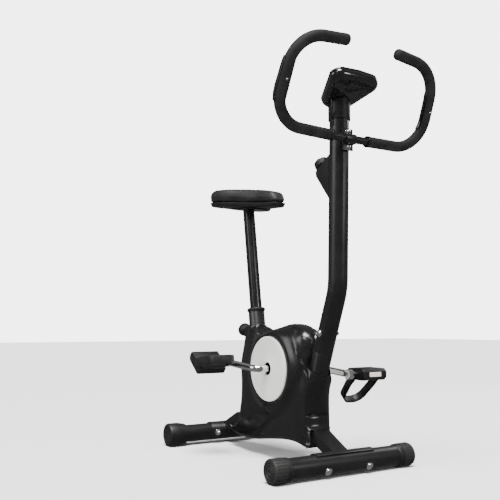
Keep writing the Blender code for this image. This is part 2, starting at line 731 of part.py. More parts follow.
def belt_outline(grow):
    """Outline of the belt round both pulleys, its line moved outwards by grow."""
    big = PULLEY_RADIUS - BELT_THICKNESS + GAP + grow
    small = FLY_PULLEY_RADIUS - BELT_THICKNESS + GAP + grow
    span = FLY_CENTRE - CRANK_CENTRE
    heading = math.atan2(span.z, span.x)
    lean = math.acos((big - small) / span.length)
    points = []
    for i in range(25):
        a = heading + lean + (2 * math.pi - 2 * lean) * i / 24
        points.append((CRANK_X + big * math.cos(a), CRANK_Z + big * math.sin(a)))
    for i in range(9):
        a = heading - lean + 2 * lean * i / 8
        points.append((FLYWHEEL_X + small * math.cos(a), FLYWHEEL_Z + small * math.sin(a)))
    return points


def build_drive(shop):
    for label, side in (("right", -1), ("left", 1)):
        y = side * (BRACKET_HALF_WIDTH - BRACKET_BEARING_WIDTH / 2)
        radius = BRACKET_RADIUS - 0.0035 - GAP
        bearing(shop, f"crank_bearing_{label}", CRANK_CENTRE, y, BRACKET_BEARING_WIDTH,
                CRANK_ROD_RADIUS + GAP, radius)
    width = 2 * FLY_HOUSING_HALF_WIDTH
    radius = FLY_HOUSING_RADIUS - 0.0025 - GAP
    bearing(shop, "flywheel_bearing", FLY_CENTRE, 0, width, FLY_SHAFT_RADIUS + GAP, radius)
    side_on = frame_to((0, PULLEY_Y, 0), -Y_AXIS, X_AXIS)
    half = BELT_WIDTH / 2
    belt = shop.piece(
        "drive_belt",
        prism("drive_belt", belt_outline(BELT_THICKNESS - 0.0012), -half, half, side_on),
        black_rubber(),
    )
    shop.cut(belt, prism("inside", belt_outline(0), -half * 2, half * 2, side_on))
    shop.bake(belt)
    half = PULLEY_WIDTH / 2
    rim = FLY_PULLEY_RADIUS
    floor = FLY_PULLEY_RADIUS - BELT_THICKNESS
    out = PULLEY_Y - half
    profile = [
        (0, FLYWHEEL_Y + FLYWHEEL_THICKNESS + 0.003),
        (FLY_SHAFT_RADIUS, FLYWHEEL_Y + FLYWHEEL_THICKNESS + 0.003),
        (FLY_SHAFT_RADIUS, PULLEY_Y + half), (rim, PULLEY_Y + half), (rim, PULLEY_Y + half - 0.0015),
        (floor, PULLEY_Y + half - 0.0015), (floor, out + 0.0015), (rim, out + 0.0015), (rim, out), (0, out),
    ]
    shaft = shop.piece(
        "flywheel_shaft", turned("flywheel_shaft", profile, frame_to(FLY_CENTRE, Y_AXIS), 24), steel()
    )
    near, far = FLYWHEEL_Y, FLYWHEEL_Y + FLYWHEEL_THICKNESS
    bore = FLY_SHAFT_RADIUS + GAP
    profile = [
        (bore, far), (0.018, far), (0.022, far - 0.004), (0.046, far - 0.004), (0.049, far),
        (FLYWHEEL_RADIUS, far), (FLYWHEEL_RADIUS, near), (bore, near),
    ]
    wheel = shop.piece("flywheel", turned("flywheel", profile, frame_to(FLY_CENTRE, Y_AXIS), 36), steel())
    carried_by("flywheel_axis", FLY_CENTRE, [shaft, wheel])


BRAKE_PIVOT = Vector((0.066, 0, 0.176))
BRAKE_Y = 0.033
BRAKE_CLEARANCE = 0.004


def build_brake(shop):
    """Magnet arm below the flywheel's rim, on a pivot pin, pulled by the tension cable."""
    start = math.radians(228)
    stop = math.radians(292)
    inner = FLYWHEEL_RADIUS + BRAKE_CLEARANCE
    rim = []
    for i in range(9):
        a = start + (stop - start) * i / 8
        rim.append((math.cos(a), math.sin(a)))
    magnet_out = inner + 0.006
    outline = [(FLYWHEEL_X + magnet_out * x, FLYWHEEL_Z + magnet_out * z) for x, z in rim]
    outline += [(FLYWHEEL_X + inner * x, FLYWHEEL_Z + inner * z) for x, z in reversed(rim)]
    side_on = frame_to((0, BRAKE_Y, 0), -Y_AXIS, X_AXIS)
    magnet = shop.piece("brake_magnet", prism("brake_magnet", outline, -0.006, 0.006, side_on), steel())
    arm_in = magnet_out + GAP
    arm_out = arm_in + 0.006
    outline = [(FLYWHEEL_X + arm_out * x, FLYWHEEL_Z + arm_out * z) for x, z in rim]
    outline += [(FLYWHEEL_X + arm_in * x, FLYWHEEL_Z + arm_in * z) for x, z in reversed(rim)]
    arm = shop.piece("brake_arm", prism("brake_arm", outline, -0.007, 0.007, side_on), steel())
    half = Y_AXIS * 0.008
    pivot = BRAKE_PIVOT + Y_AXIS * BRAKE_Y
    a = start + math.radians(5)
    grip = arm_in + 0.0045
    lever = Vector((FLYWHEEL_X + grip * math.cos(a), BRAKE_Y, FLYWHEEL_Z + grip * math.sin(a)))
    shop.join(arm, cylinder("lever", pivot, lever, 0.005, 12))
    shop.join(arm, cylinder("eye", pivot - half, pivot + half, 0.0095, SMALL))
    shop.cut(arm, cylinder("pin", pivot - half * 2, pivot + half * 2, 0.004 + SLIDE, SMALL))
    shop.bake(arm)
    carried_by("brake_axis", BRAKE_PIVOT, [arm, magnet])


def build_brake_post(shop, frame):
    """Pin and post on the frame that the brake arm hinges on."""
    top = BRAKE_PIVOT + Y_AXIS * 0.044
    foot = Vector((BRAKE_PIVOT.x, 0.012, BRAKE_PIVOT.z))
    shop.join(frame, cylinder("pivot_pin", foot, top, 0.004, SMALL))
    web_foot = Vector((BRAKE_PIVOT.x, 0.012, BEAM_HEIGHT_MID + 0.005))
    height = BRAKE_PIVOT.z + 0.010 - web_foot.z
    centre = web_foot + Vector((0, 0.003, height / 2))
    shop.join(frame, box("pivot_web", (0.024, 0.010, height), Matrix.Translation(centre)))
    shop.bake(frame)


# ---- pedals ------------------------------------------------------------------
def pedal_outline():
    """Section of a pedal: flat top and bottom with chamfered ends."""
    long, thick = PEDAL_LENGTH / 2, PEDAL_THICKNESS / 2
    cut = 0.008
    return [
        (long, -thick + cut), (long, thick - cut), (long - cut, thick), (-long + cut, thick),
        (-long, thick - cut), (-long, -thick + cut), (-long + cut, -thick), (long - cut, -thick),
    ]


def strap_outline(inner):
    """The strap's loop in its own plane: x along the strap, y across the pedal."""
    half = PEDAL_WIDTH / 2 + 0.0006 + (0 if inner else STRAP_THICKNESS)
    reach = STRAP_LENGTH if inner else STRAP_LENGTH + STRAP_THICKNESS
    radius = 0.030 if inner else 0.030 + STRAP_THICKNESS
    narrow = half - 0.006
    points = [(0.0085, half), (0.036, half)]
    for i in range(7):
        a = math.radians(90 - 15 * i)
        points.append((reach - radius + radius * math.cos(a), narrow - radius + radius * math.sin(a)))
    return points + [(x, -y) for x, y in reversed(points)]


def build_pedal(shop, label, side, turn):
    eye = pedal_centre(side)
    middle = Vector((eye.x, side * (PEDAL_INNER_Y + PEDAL_WIDTH / 2), eye.z))
    swing = Matrix.Rotation(math.radians(-turn), 4, "Y")
    place = Matrix.Translation(middle) @ swing
    side_on = place @ frame_to((0, 0, 0), -Y_AXIS, X_AXIS)
    half = PEDAL_WIDTH / 2
    mesh = prism(f"pedal_{label}", pedal_outline(), -half, half, side_on, bevel=0.002, segments=1)
    body = shop.piece(f"pedal_{label}", mesh, black_plastic())
    start = Vector((eye.x, side * (PEDAL_INNER_Y - 0.01), eye.z))
    stop = Vector((eye.x, side * (PEDAL_INNER_Y + PEDAL_WIDTH - 0.0115), eye.z))
    shop.cut(body, cylinder("bore", start, stop, SPINDLE_RADIUS + SLIDE, SMALL))
    recess = Matrix.Translation((PEDAL_LENGTH / 2, 0, 0))
    shop.cut(body, box("recess", (0.006, 0.040, 0.0125), place @ recess))
    shop.bake(body)
    seat = Matrix.Translation((PEDAL_LENGTH / 2 - 0.0012, 0, 0))
    lens = box(f"pedal_reflector_{label}", (0.003, 0.0392, 0.0118), place @ seat)
    amber = finish("pale_reflector", (0.75, 0.72, 0.62), 0.2, 0.0)
    reflector = shop.piece(f"pedal_reflector_{label}", lens, amber)
    heading = math.radians(STRAP_DIRECTION)
    along = Vector((math.cos(heading), 0, math.sin(heading)))
    lay = place @ frame_to((0, 0, 0), along.cross(Y_AXIS), along)
    outer, inner = strap_outline(False), strap_outline(True)
    outline = outer + list(reversed(inner))
    half = STRAP_WIDTH / 2
    strap = shop.piece(
        f"pedal_strap_{label}", prism(f"pedal_strap_{label}", outline, -half, half, lay), black_rubber()
    )
    carried_by(f"pedal_{label}_axis", eye, [body, reflector, strap])


# ---- seat ---------------------------------------------------------------------
SEAT_TOP = seat_axis(SEAT_POST_TOP)
SADDLE_FRAME = Matrix.Translation(SEAT_TOP) @ Matrix.Rotation(math.radians(SADDLE_TILT), 4, "Y")


def saddle_plan(inset):
    """Top view of the saddle: broad rear, waist, round nose."""
    wide = SADDLE_HALF_WIDTH - inset
    nose = SADDLE_NOSE_HALF_WIDTH - inset
    rear, front = SADDLE_REAR - inset, SADDLE_NOSE - inset
    half = [(-rear, wide * 0.28), (-rear + 0.012, wide * 0.70), (-rear + 0.036, wide * 0.95)]
    half += [(-rear + 0.062, wide), (-rear + 0.092, wide * 0.93), (0.020, wide * 0.70)]
    half += [(0.056, wide * 0.48), (0.096, nose + 0.005), (front - 0.034, nose)]
    half += [(front - 0.012, nose * 0.78), (front, nose * 0.30)]
    return [(x, -y) for x, y in half] + [(x, y) for x, y in reversed(half)]


def build_seat(shop):
    low = seat_axis(-SEAT_POST_INSERT)
    inner = SEAT_POST_RADIUS - SEAT_POST_WALL
    rod = cylinder("seat_post", low, SEAT_TOP, SEAT_POST_RADIUS, ROUND)
    post = shop.piece("seat_post", rod, black_steel())
    plate_place = SADDLE_FRAME @ Matrix.Translation((0.005, 0, -SADDLE_PLATE_THICKNESS / 2))
    shop.join(post, box("plate", (0.110, 0.060, SADDLE_PLATE_THICKNESS), plate_place))
    above = SADDLE_FRAME @ Matrix.Translation((0, 0, 0.05))
    shop.cut(post, box("above", (0.2, 0.2, 0.1), above))
    shop.cut(post, cylinder("bore", low - SEAT_DIR * 0.01, seat_axis(SEAT_POST_TOP - 0.03), inner, 24))
    first = PIN_HEIGHT - 2 * SEAT_HOLE_SPACING
    for i in range(SEAT_HOLE_COUNT):
        at = seat_axis(first + i * SEAT_HOLE_SPACING)
        shop.cut(post, cylinder("hole", at + PIN_DIR * 0.008, at + PIN_DIR * 0.03, SEAT_HOLE_RADIUS, 12))
    shop.bake(post)
    base = prism("saddle_base", saddle_plan(0.004), GAP, SADDLE_BASE_THICKNESS, SADDLE_FRAME)
    base = shop.piece("saddle_base", base, black_plastic())
    low = SADDLE_BASE_THICKNESS + GAP
    mesh = prism("saddle_pad", saddle_plan(0.0), low, low + SADDLE_PAD_THICKNESS, None, 0.012, 3)
    for vertex in mesh.vertices:
        if vertex.co.z > low + 0.02:
            fall = max(vertex.co.x - 0.060, 0) / 0.120
            vertex.co.z -= 0.022 * fall ** 1.6 + 0.008 * max(-vertex.co.x - 0.06, 0) / 0.044
    mesh.transform(SADDLE_FRAME)
    pad = shop.piece("saddle_pad", mesh, vinyl())
    carried_by("seat_slide", seat_axis(0), [post, base, pad])
    depth, top = -BUSH_DEPTH, SEAT_TUBE_TOP + GAP
    hole = SEAT_POST_RADIUS + SLIDE
    fit = SEAT_TUBE_RADIUS - SEAT_TUBE_WALL - GAP
    profile = [
        (hole, top + BUSH_COLLAR_HEIGHT), (BUSH_COLLAR_RADIUS - 0.003, top + BUSH_COLLAR_HEIGHT),
        (BUSH_COLLAR_RADIUS, top + BUSH_COLLAR_HEIGHT - 0.003), (BUSH_COLLAR_RADIUS, top),
        (fit, top), (fit, depth + 0.012), (hole, depth + 0.012),
    ]
    place = frame_to(seat_axis(0), SEAT_DIR)
    shop.piece("seat_tube_bush", turned("seat_tube_bush", profile, place, ROUND), black_plastic())


def build_seat_pin(shop):
    """Pull knob with its locking pin, which a spring inside the sleeve pushes home."""
    base = seat_axis(PIN_HEIGHT)
    tip = SEAT_POST_RADIUS + 0.0004
    mouth = SEAT_TUBE_RADIUS + PIN_SLEEVE_LENGTH - 0.006
    knob_start = mouth + 0.0005
    knob_end = knob_start + PIN_KNOB_LENGTH
    collar = SEAT_TUBE_RADIUS + 0.020
    r = PIN_KNOB_RADIUS
    profile = [
        (0, knob_end), (r * 0.45, knob_end - 0.002), (r * 0.85, knob_end - 0.010),
        (r, knob_end - 0.019), (r, knob_end - 0.026), (r * 0.72, knob_start + 0.004), (r * 0.6, knob_start),
        (0.0046, knob_start), (0.0046, collar), (0.0078, collar), (0.0078, collar - 0.003),
        (PIN_RADIUS, collar - 0.003), (PIN_RADIUS, tip), (0, tip),
    ]
    grip = turned("seat_pin_knob", profile, frame_to(base, PIN_DIR), 24)
    knob = shop.piece("seat_pin_knob", grip, black_plastic())
    carried_by("seat_pin_slide", base, [knob])


# ---- handlebar post and handlebar ----------------------------------------------
def post_path():
    seam = lower_post(POST_SEAM_Z) + LOWER_DIR * GAP
    bend = lower_post(POST_BEND_Z)
    top = Vector((POST_TOP_X, 0, POST_TOP_Z))
    return rounded_path([seam, bend, top], [POST_BEND_RADIUS], 6)


def post_point(z):
    """Point of the upper post's axis at height z."""
    bend = lower_post(POST_BEND_Z)
    top = Vector((POST_TOP_X, 0, POST_TOP_Z))
    return bend + (top - bend) * ((z - bend.z) / (top.z - bend.z))


def build_post(shop):
    path = post_path()
    post = shop.piece("handlebar_post", sweep("handlebar_post", path, POST_RADIUS, 24), black_steel())
    inside = [path[0] - LOWER_DIR * 0.01] + path[1:-1] + [path[-1] + Z_AXIS * 0.01]
    shop.cut(post, sweep("bore", inside, POST_RADIUS - POST_WALL, 24))
    at = lower_post(POST_BOLT_Z)
    hole = 0.0038 + SLIDE
    shop.cut(post, cylinder("hole", at - Y_AXIS * 0.04, at + Y_AXIS * 0.04, hole))
    for rise in (-CLAMP_BOLT_RISE, CLAMP_BOLT_RISE):
        at = post_point(BAR_Z + rise)
        shop.cut(post, cylinder("hole", at - X_AXIS * 0.04, at + X_AXIS * 0.04, 0.0028 + SLIDE, 12))
    _, head = cable_ends()
    shop.cut(post, box("slot", (0.02, 0.010, 0.018), Matrix.Translation(head - X_AXIS * 0.006)))
    shop.bake(post)
    at = lower_post(POST_BOLT_Z)
    reach = POST_RADIUS + GAP
    bolt(shop, "post_bolt", at, -Y_AXIS, (reach, reach), 0.0105, 0.009)


def cable_ends():
    """Where the tension cable leaves the frame's lower post and reaches its housing."""
    head = post_point(0.700) - X_AXIS * (POST_RADIUS - 0.001)
    foot = lower_post(0.160) - X_AXIS * CABLE_OFFSET
    return foot, head


def bar_outline(side):
    """The bar's centreline from its middle to one tip, as corner points and bend radii."""
    def at(y, s):
        return BAR_CENTRE + Y_AXIS * side * y + BAR_UP * s
    corners = [
        at(0, 0), at(BAR_HALF_WIDTH, 0.004), at(BAR_UPPER_HALF_WIDTH, BAR_HEIGHT),
        at(BAR_TIP_HALF_WIDTH, BAR_TIP_HEIGHT),
    ]
    return rounded_path(corners, [BAR_LOWER_BEND, BAR_UPPER_BEND], 8)


def trimmed(points, start):
    """The part of a path that lies beyond a length from its first point."""
    left = start
    for i in range(len(points) - 1):
        step = (points[i + 1] - points[i]).length
        if left < step:
            return [points[i].lerp(points[i + 1], left / step)] + points[i + 1:]
        left -= step
    return points[-1:]


def bar_stretch(line, extra):
    """The part of the bar's side that the pulse sensor wraps, lengthened by extra."""
    low = SENSOR_CENTRE - SENSOR_LENGTH / 2
    high = SENSOR_CENTRE + SENSOR_LENGTH / 2
    heights = [(point - BAR_CENTRE).dot(BAR_UP) for point in line]
    inside = [p for p, h in zip(line, heights) if low < h < high and abs(p.y) > 0.15]
    first = inside[0] + (inside[0] - inside[1]).normalized() * extra
    last = inside[-1] + (inside[-1] - inside[-2]).normalized() * extra
    return [first] + inside[1:-1] + [last] if extra else inside


def build_handlebar(shop):
    left = bar_outline(1)
    right = bar_outline(-1)
    path = list(reversed(right)) + left[1:]
    bar = shop.piece("handlebar", sweep("handlebar", path, BAR_RADIUS, 12), black_steel())
    pieces = [bar]
    for label, line in (("right", right), ("left", left)):
        run = trimmed(line, GRIP_START)
        over = (run[-1] - run[-2]).normalized()
        outside = run[:-1] + [run[-1] + over * GRIP_END_THICKNESS]
        inside = [run[0] + (run[0] - run[1]).normalized() * 0.02] + run[1:-1] + [run[-1] + over * GAP]
        grip = shop.piece(f"grip_{label}", sweep("grip", outside, GRIP_RADIUS, 12), foam())
        shop.cut(grip, sweep("bore", inside, BAR_RADIUS + GAP, 12))
        shop.bake(grip)
        sensor = shop.piece(
            f"pulse_sensor_{label}",
            sweep("sensor", bar_stretch(line, 0), SENSOR_RADIUS, 12),
            black_plastic(),
        )
        shop.cut(sensor, sweep("bore", bar_stretch(line, 0.012), GRIP_RADIUS + 2 * GAP, 12))
        ahead = Vector((BAR_UP.z, 0, -BAR_UP.x))
        lay = frame_to(BAR_CENTRE + ahead * 0.104, ahead, BAR_UP)
        shop.cut(sensor, box("front", (0.8, 0.8, 0.2), lay))
        shop.bake(sensor)
        pieces += [grip, sensor]
    carried_by("handlebar_axis", BAR_CENTRE, pieces)


def clamp_front():
    """Front of the clamp's ears, from the bar's axis."""
    return CLAMP_THICKNESS - BAR_RADIUS + 0.0011


def clamp_outline():
    """Side view of the clamp: a half ring in front of the bar with two flat ears."""
    inner = BAR_RADIUS + CLAMP_FIT
    outer = inner + CLAMP_THICKNESS
    top = CLAMP_BOLT_RISE + 0.008
    front = clamp_front() - CLAMP_THICKNESS
    points = [(front, top), (clamp_front(), top), (clamp_front(), outer * 0.96)]
    for i in range(9):
        a = math.radians(112 - 28 * i)
        points.append((outer * math.cos(a), outer * math.sin(a)))
    points += [(clamp_front(), -outer * 0.96), (clamp_front(), -top), (front, -top)]
    for i in range(11):
        a = math.radians(-148 + 29.6 * i)
        points.append((inner * math.cos(a), inner * math.sin(a)))
    return points


def build_clamp(shop):
    side_on = frame_to(BAR_CENTRE, -Y_AXIS, X_AXIS)
    half = CLAMP_HALF_WIDTH
    mesh = prism("handlebar_clamp", clamp_outline(), -half, half, side_on)
    clamp = shop.piece("handlebar_clamp", mesh, black_steel())
    for label, rise in (("lower", -CLAMP_BOLT_RISE), ("upper", CLAMP_BOLT_RISE)):
        at = Vector((post_point(BAR_Z + rise).x, 0, BAR_Z + rise))
        shop.cut(clamp, cylinder("hole", at, at + X_AXIS * 0.08, 0.0028 + SLIDE, 12))
        face = BAR_X + clamp_front() - at.x + GAP
        rear = POST_RADIUS + GAP
        shank, nut = 0.0028, 0.0062
        profile = [
            (0, face + 0.0105), (nut * 0.5, face + 0.010), (nut * 0.85, face + 0.0065), (nut, face + 0.005),
            (nut, face), (shank, face), (shank, -rear), (nut, -rear),
            (nut * 0.8, -rear - 0.003), (0, -rear - 0.0035),
        ]
        mesh = turned("clamp_bolt", profile, frame_to(at, X_AXIS), 12)
        shop.piece(f"clamp_bolt_{label}", mesh, chrome())
    shop.bake(clamp)


# ---- tension knob and its housing -----------------------------------------------
def build_tension(shop):
    """Wedge housing on the back of the post, fluted knob on top, cable inside the post."""
    top = post_point(HOUSING_TOP_Z)
    foot = post_point(HOUSING_FOOT_Z)
    deck = KNOB_CENTRE - KNOB_DIR * (KNOB_HEIGHT / 2 + 0.001)
    across = Vector((KNOB_DIR.z, 0, -KNOB_DIR.x))
    lip = deck - across * (KNOB_RADIUS * 0.82)
    outline = [
        (top.x, top.z + 0.012), (lip.x, lip.z), (lip.x + 0.0015, lip.z - 0.014),
        (foot.x - POST_RADIUS * 0.8, foot.z), (foot.x, foot.z),
    ]
    rise = deck + across * 0.055
    outline[0] = (rise.x, rise.z)
    side_on = frame_to((0, 0, 0), -Y_AXIS, X_AXIS)
    half = HOUSING_HALF_WIDTH
    housing = shop.piece(
        "tension_housing",
        prism("tension_housing", outline, -half, half, side_on, 0.003, 1),
        black_plastic(),
    )
    low, high = post_point(HOUSING_FOOT_Z - 0.02), post_point(HOUSING_TOP_Z + 0.05)
    shop.cut(housing, cylinder("post", low, high, POST_RADIUS + GAP, ROUND))
    shop.cut(housing, cylinder("shaft", deck - KNOB_DIR * 0.012, deck + KNOB_DIR * 0.02, 0.0042, SMALL))
    shop.bake(housing)
    flutes = []
    for i in range(32):
        a = 2 * math.pi * i / 32
        r = KNOB_RADIUS - (0.0011 if i % 4 == 0 else 0.0)
        flutes.append((r * math.cos(a), r * math.sin(a)))
    low, high = -KNOB_HEIGHT / 2, KNOB_HEIGHT / 2
    mesh = prism("tension_knob", flutes, low, high, frame_to(KNOB_CENTRE, KNOB_DIR), 0.0025, 1)
    knob = shop.piece("tension_knob", mesh, black_plastic())
    stem = KNOB_CENTRE - KNOB_DIR * (KNOB_HEIGHT / 2 + 0.010)
    shop.join(knob, cylinder("stem", stem, KNOB_CENTRE, 0.0036, SMALL))
    shop.bake(knob)
    carried_by("tension_knob_axis", KNOB_CENTRE, [knob])
    foot, head = cable_ends()
    route = rounded_path(
        [
            head + X_AXIS * 0.004, head + Vector((0.014, 0, -0.022)),
            lower_post(POST_BEND_Z) - X_AXIS * CABLE_OFFSET, foot,
        ],
        [0.012, 0.15], 4,
    )
    shop.piece("tension_cable", sweep("tension_cable", route, 0.0025, 8), black_plastic())


# ---- console ---------------------------------------------------------------------
SLOPE = math.radians(CONSOLE_SLOPE)
FACE_NORMAL = Vector((-math.sin(SLOPE), 0, math.cos(SLOPE)))
FACE_UP = Vector((math.cos(SLOPE), 0, math.sin(SLOPE)))
CONSOLE_PLACE = frame_to((CONSOLE_X, 0, CONSOLE_Z), FACE_NORMAL, FACE_UP)


def console_outline(inset):
    """The console's face: wide and nearly straight at the top, narrower at the foot."""
    half = CONSOLE_LENGTH / 2 - inset
    corners = [
        (half + 0.003, 0), (half, CONSOLE_TOP_HALF_WIDTH - 0.012 - inset),
        (half - 0.022, CONSOLE_TOP_HALF_WIDTH - inset),
        (-half, CONSOLE_FOOT_HALF_WIDTH - inset), (-half - 0.004, 0),
    ]
    radius = CONSOLE_CORNER - inset
    path = rounded_path([Vector((x, y, 0)) for x, y in corners], [radius, radius * 1.4, radius], 3)
    side = [(p.x, p.y) for p in path]
    return side + [(x, -y) for x, y in reversed(side[1:-1])]


def build_console(shop):
    back = prism("console_back", console_outline(0), -CONSOLE_BACK_DEPTH, -GAP / 2, None, 0.0, 2)
    for vertex in back.vertices:
        if vertex.co.z < -CONSOLE_BACK_DEPTH / 2:
            vertex.co.x *= CONSOLE_BACK_SHARE
            vertex.co.y *= CONSOLE_BACK_SHARE
    back.transform(CONSOLE_PLACE)
    shell = shop.piece("console_back", back, black_plastic())
    room = prism("room", console_outline(CONSOLE_WALL), -CONSOLE_BACK_DEPTH + CONSOLE_WALL, 0.01)
    for vertex in room.vertices:
        if vertex.co.z < 0:
            vertex.co.x *= CONSOLE_BACK_SHARE - 0.01
            vertex.co.y *= CONSOLE_BACK_SHARE - 0.01
    room.transform(CONSOLE_PLACE)
    shop.cut(shell, room)
    shop.bake(shell)
    face = shop.piece(
        "console_face",
        prism("console_face", console_outline(0), GAP / 2, CONSOLE_FACE_DEPTH, CONSOLE_PLACE, 0.002, 1),
        black_plastic(),
    )
    hollow = prism("hollow", console_outline(0.004), -0.01, CONSOLE_FACE_DEPTH - 0.003, CONSOLE_PLACE)
    shop.cut(face, hollow)
    window = (0.040, 0.062)
    shift = Matrix.Translation((0.016, 0, CONSOLE_FACE_DEPTH - 0.001))
    shop.cut(face, box("window", (window[0] + 2 * GAP, window[1] + 2 * GAP, 0.01), CONSOLE_PLACE @ shift))
    button_at = Matrix.Translation((-0.034, 0, CONSOLE_FACE_DEPTH))
    button_place = CONSOLE_PLACE @ button_at
    bottom, top = button_place @ Vector((0, 0, -0.02)), button_place @ Vector((0, 0, 0.02))
    shop.cut(face, cylinder("button", bottom, top, 0.0085 + SLIDE, 24))
    shop.bake(face)
    lens_at = Matrix.Translation((0.016, 0, CONSOLE_FACE_DEPTH - 0.0015))
    glass = finish("display_window", (0.03, 0.04, 0.04), 0.08, 0.0)
    lens = box("console_screen", (window[0], window[1], 0.0022), CONSOLE_PLACE @ lens_at)
    shop.piece("console_screen", lens, glass)
    profile = [(0, 0.0022), (0.006, 0.0021), (0.0085, 0.0012), (0.0085, -0.0045), (0, -0.0045)]
    grey = finish("grey_rubber", (0.35, 0.35, 0.36), 0.6, 0.0)
    button = shop.piece("mode_button", turned("mode_button", profile, button_place, 24), grey)
    carried_by("mode_button_slide", button_place.translation, [button])
    build_console_bracket(shop)


def build_console_bracket(shop):
    """Collar over the post's top with an arm that the console's back rests on."""
    top = post_point(POST_TOP_Z)
    low = post_point(BRACKET_COLLAR_Z)
    collar = cylinder("console_bracket", low, top + Z_AXIS * BRACKET_REACH, BRACKET_COLLAR_RADIUS, ROUND)
    bracket = shop.piece("console_bracket", collar, black_plastic())
    bore_top = top + Z_AXIS * (GAP * 2)
    shop.cut(bracket, cylinder("post", low - Z_AXIS * 0.02, bore_top, POST_RADIUS + 2 * GAP, ROUND))
    under = CONSOLE_PLACE @ Matrix.Translation((0, 0, -CONSOLE_BACK_DEPTH - GAP + 0.05))
    shop.cut(bracket, box("console", (0.3, 0.3, 0.1), under))
    shop.bake(bracket)
    start = CONSOLE_PLACE @ Vector((-0.014, -0.035, -CONSOLE_BACK_DEPTH - 0.0028))
    wall = post_point(0.852)
    corners = [
        start, start + Vector((0.003, -0.001, -0.020)), wall + Vector((0.006, -0.0315, 0.012)),
        wall + Vector((0.004, -0.0282, -0.010)),
    ]
    lead = sweep("console_lead", rounded_path(corners, [0.010, 0.010], 4), 0.0022, 8)
    shop.piece("console_lead", lead, black_rubber())


# ---- shroud ----------------------------------------------------------------------
def smooth_loop(points, steps=3):
    """Closed Catmull-Rom curve through hand-placed points."""
    made = []
    count = len(points)
    for i in range(count):
        p0, p1, p2, p3 = (Vector(points[(i + k - 1) % count]) for k in range(4))
        for s in range(steps):
            t = s / steps
            made.append(0.5 * (2 * p1 + (p2 - p0) * t + (2 * p0 - 5 * p1 + 4 * p2 - p3) * t * t
                               + (3 * p1 - p0 - 3 * p2 + p3) * t * t * t))
    return [(p.x, p.y) for p in made]


def shroud_side():
    """Side view of the shroud, anticlockwise from its rear toe."""
    dome = FLYWHEEL_Z + FLYWHEEL_RADIUS + SHROUD_WALL + 0.006
    front = lower_post(0.320).x - POST_RADIUS - 0.002
    return smooth_loop([
        (-0.203, 0.050), (-0.150, 0.036), (-0.065, 0.038), (0.020, 0.050), (0.100, 0.063),
        (0.160, 0.061), (0.212, 0.052), (0.206, 0.080), (0.200, 0.150), (0.205, 0.215),
        (0.203, 0.262), (front - 0.002, 0.300), (FLYWHEEL_X + 0.056, dome - 0.018),
        (FLYWHEEL_X, dome), (FLYWHEEL_X - 0.052, dome - 0.010), (0.008, 0.326),
        (-0.040, 0.332), (-0.095, 0.338), (-0.134, 0.330), (-0.126, 0.260), (-0.120, 0.190),
        (-0.126, 0.130), (-0.146, 0.086), (-0.180, 0.064),
    ])


def inset_loop(outline, amount):
    """Each point moved inwards along the loop's own normal."""
    made = []
    count = len(outline)
    for i in range(count):
        back, ahead = Vector(outline[i - 1]), Vector(outline[(i + 1) % count])
        run = (ahead - back).normalized()
        made.append((outline[i][0] - run.y * amount, outline[i][1] + run.x * amount))
    return made


def shroud_solid(shop, name, inset):
    """The shroud as a full solid, shrunk by inset: body, neck and disc bosses."""
    outline = inset_loop(shroud_side(), inset * SHROUD_RIM_SHARE)
    half = SHROUD_HALF_WIDTH - inset
    side_on = frame_to((0, 0, 0), -Y_AXIS, X_AXIS)
    mesh = prism(name, outline, -half, half, side_on, 0 if inset else SHROUD_EDGE, 2)
    add_edges(mesh)
    taper_mesh(mesh, inset)
    solid = shop.piece(name, mesh, black_plastic())
    top = seat_axis(SHROUD_NECK_TOP - (0 if inset == 0 else -0.02))
    low = seat_axis(-0.26)
    shop.join(solid, cylinder("neck", low, top, SHROUD_NECK_RADIUS - inset, ROUND))
    return solid


def add_edges(mesh):
    """Edge lines across the sides where the taper starts and stops."""
    bm = bmesh.new()
    bm.from_mesh(mesh)
    planes = [(X_AXIS, TAPER_START), (X_AXIS, NECK_START_X), (Z_AXIS, NECK_START_Z)]
    for normal, distance in planes:
        everything = bm.verts[:] + bm.edges[:] + bm.faces[:]
        bmesh.ops.bisect_plane(bm, geom=everything, plane_co=normal * distance, plane_no=normal)
    bm.to_mesh(mesh)
    bm.free()


def taper_mesh(mesh, inset):
    """Narrow the sides towards the front tube, the toes and the neck."""
    full = SHROUD_HALF_WIDTH - inset
    for vertex in mesh.vertices:
        x, y, z = vertex.co
        front = min(max((x - TAPER_START) / 0.045, 0), 1)
        wide = full + (SHROUD_FRONT_HALF_WIDTH - inset - full) * front
        rear = min(max((NECK_START_X - x) / 0.060, 0), 1) * min(max((z - NECK_START_Z) / 0.09, 0), 1)
        wide += (SHROUD_NECK_RADIUS - 0.004 - inset - wide) * rear
        vertex.co.y = y * wide / full


def boss_ring(side):
    """Raised land round the disc cover, with a hole for the crank."""
    outer = SHROUD_HALF_WIDTH - 0.004
    face = DISC_FACE_Y - DISC_THICKNESS - GAP
    return cylinder(
        "boss", CRANK_CENTRE + Y_AXIS * side * outer, CRANK_CENTRE + Y_AXIS * side * face,
        BOSS_RADIUS + 0.006, 36, BOSS_RADIUS - 0.003,
    )


def post_clearance():
    return cylinder("post", lower_post(0.02), lower_post(0.42), POST_RADIUS + 0.0008, ROUND)


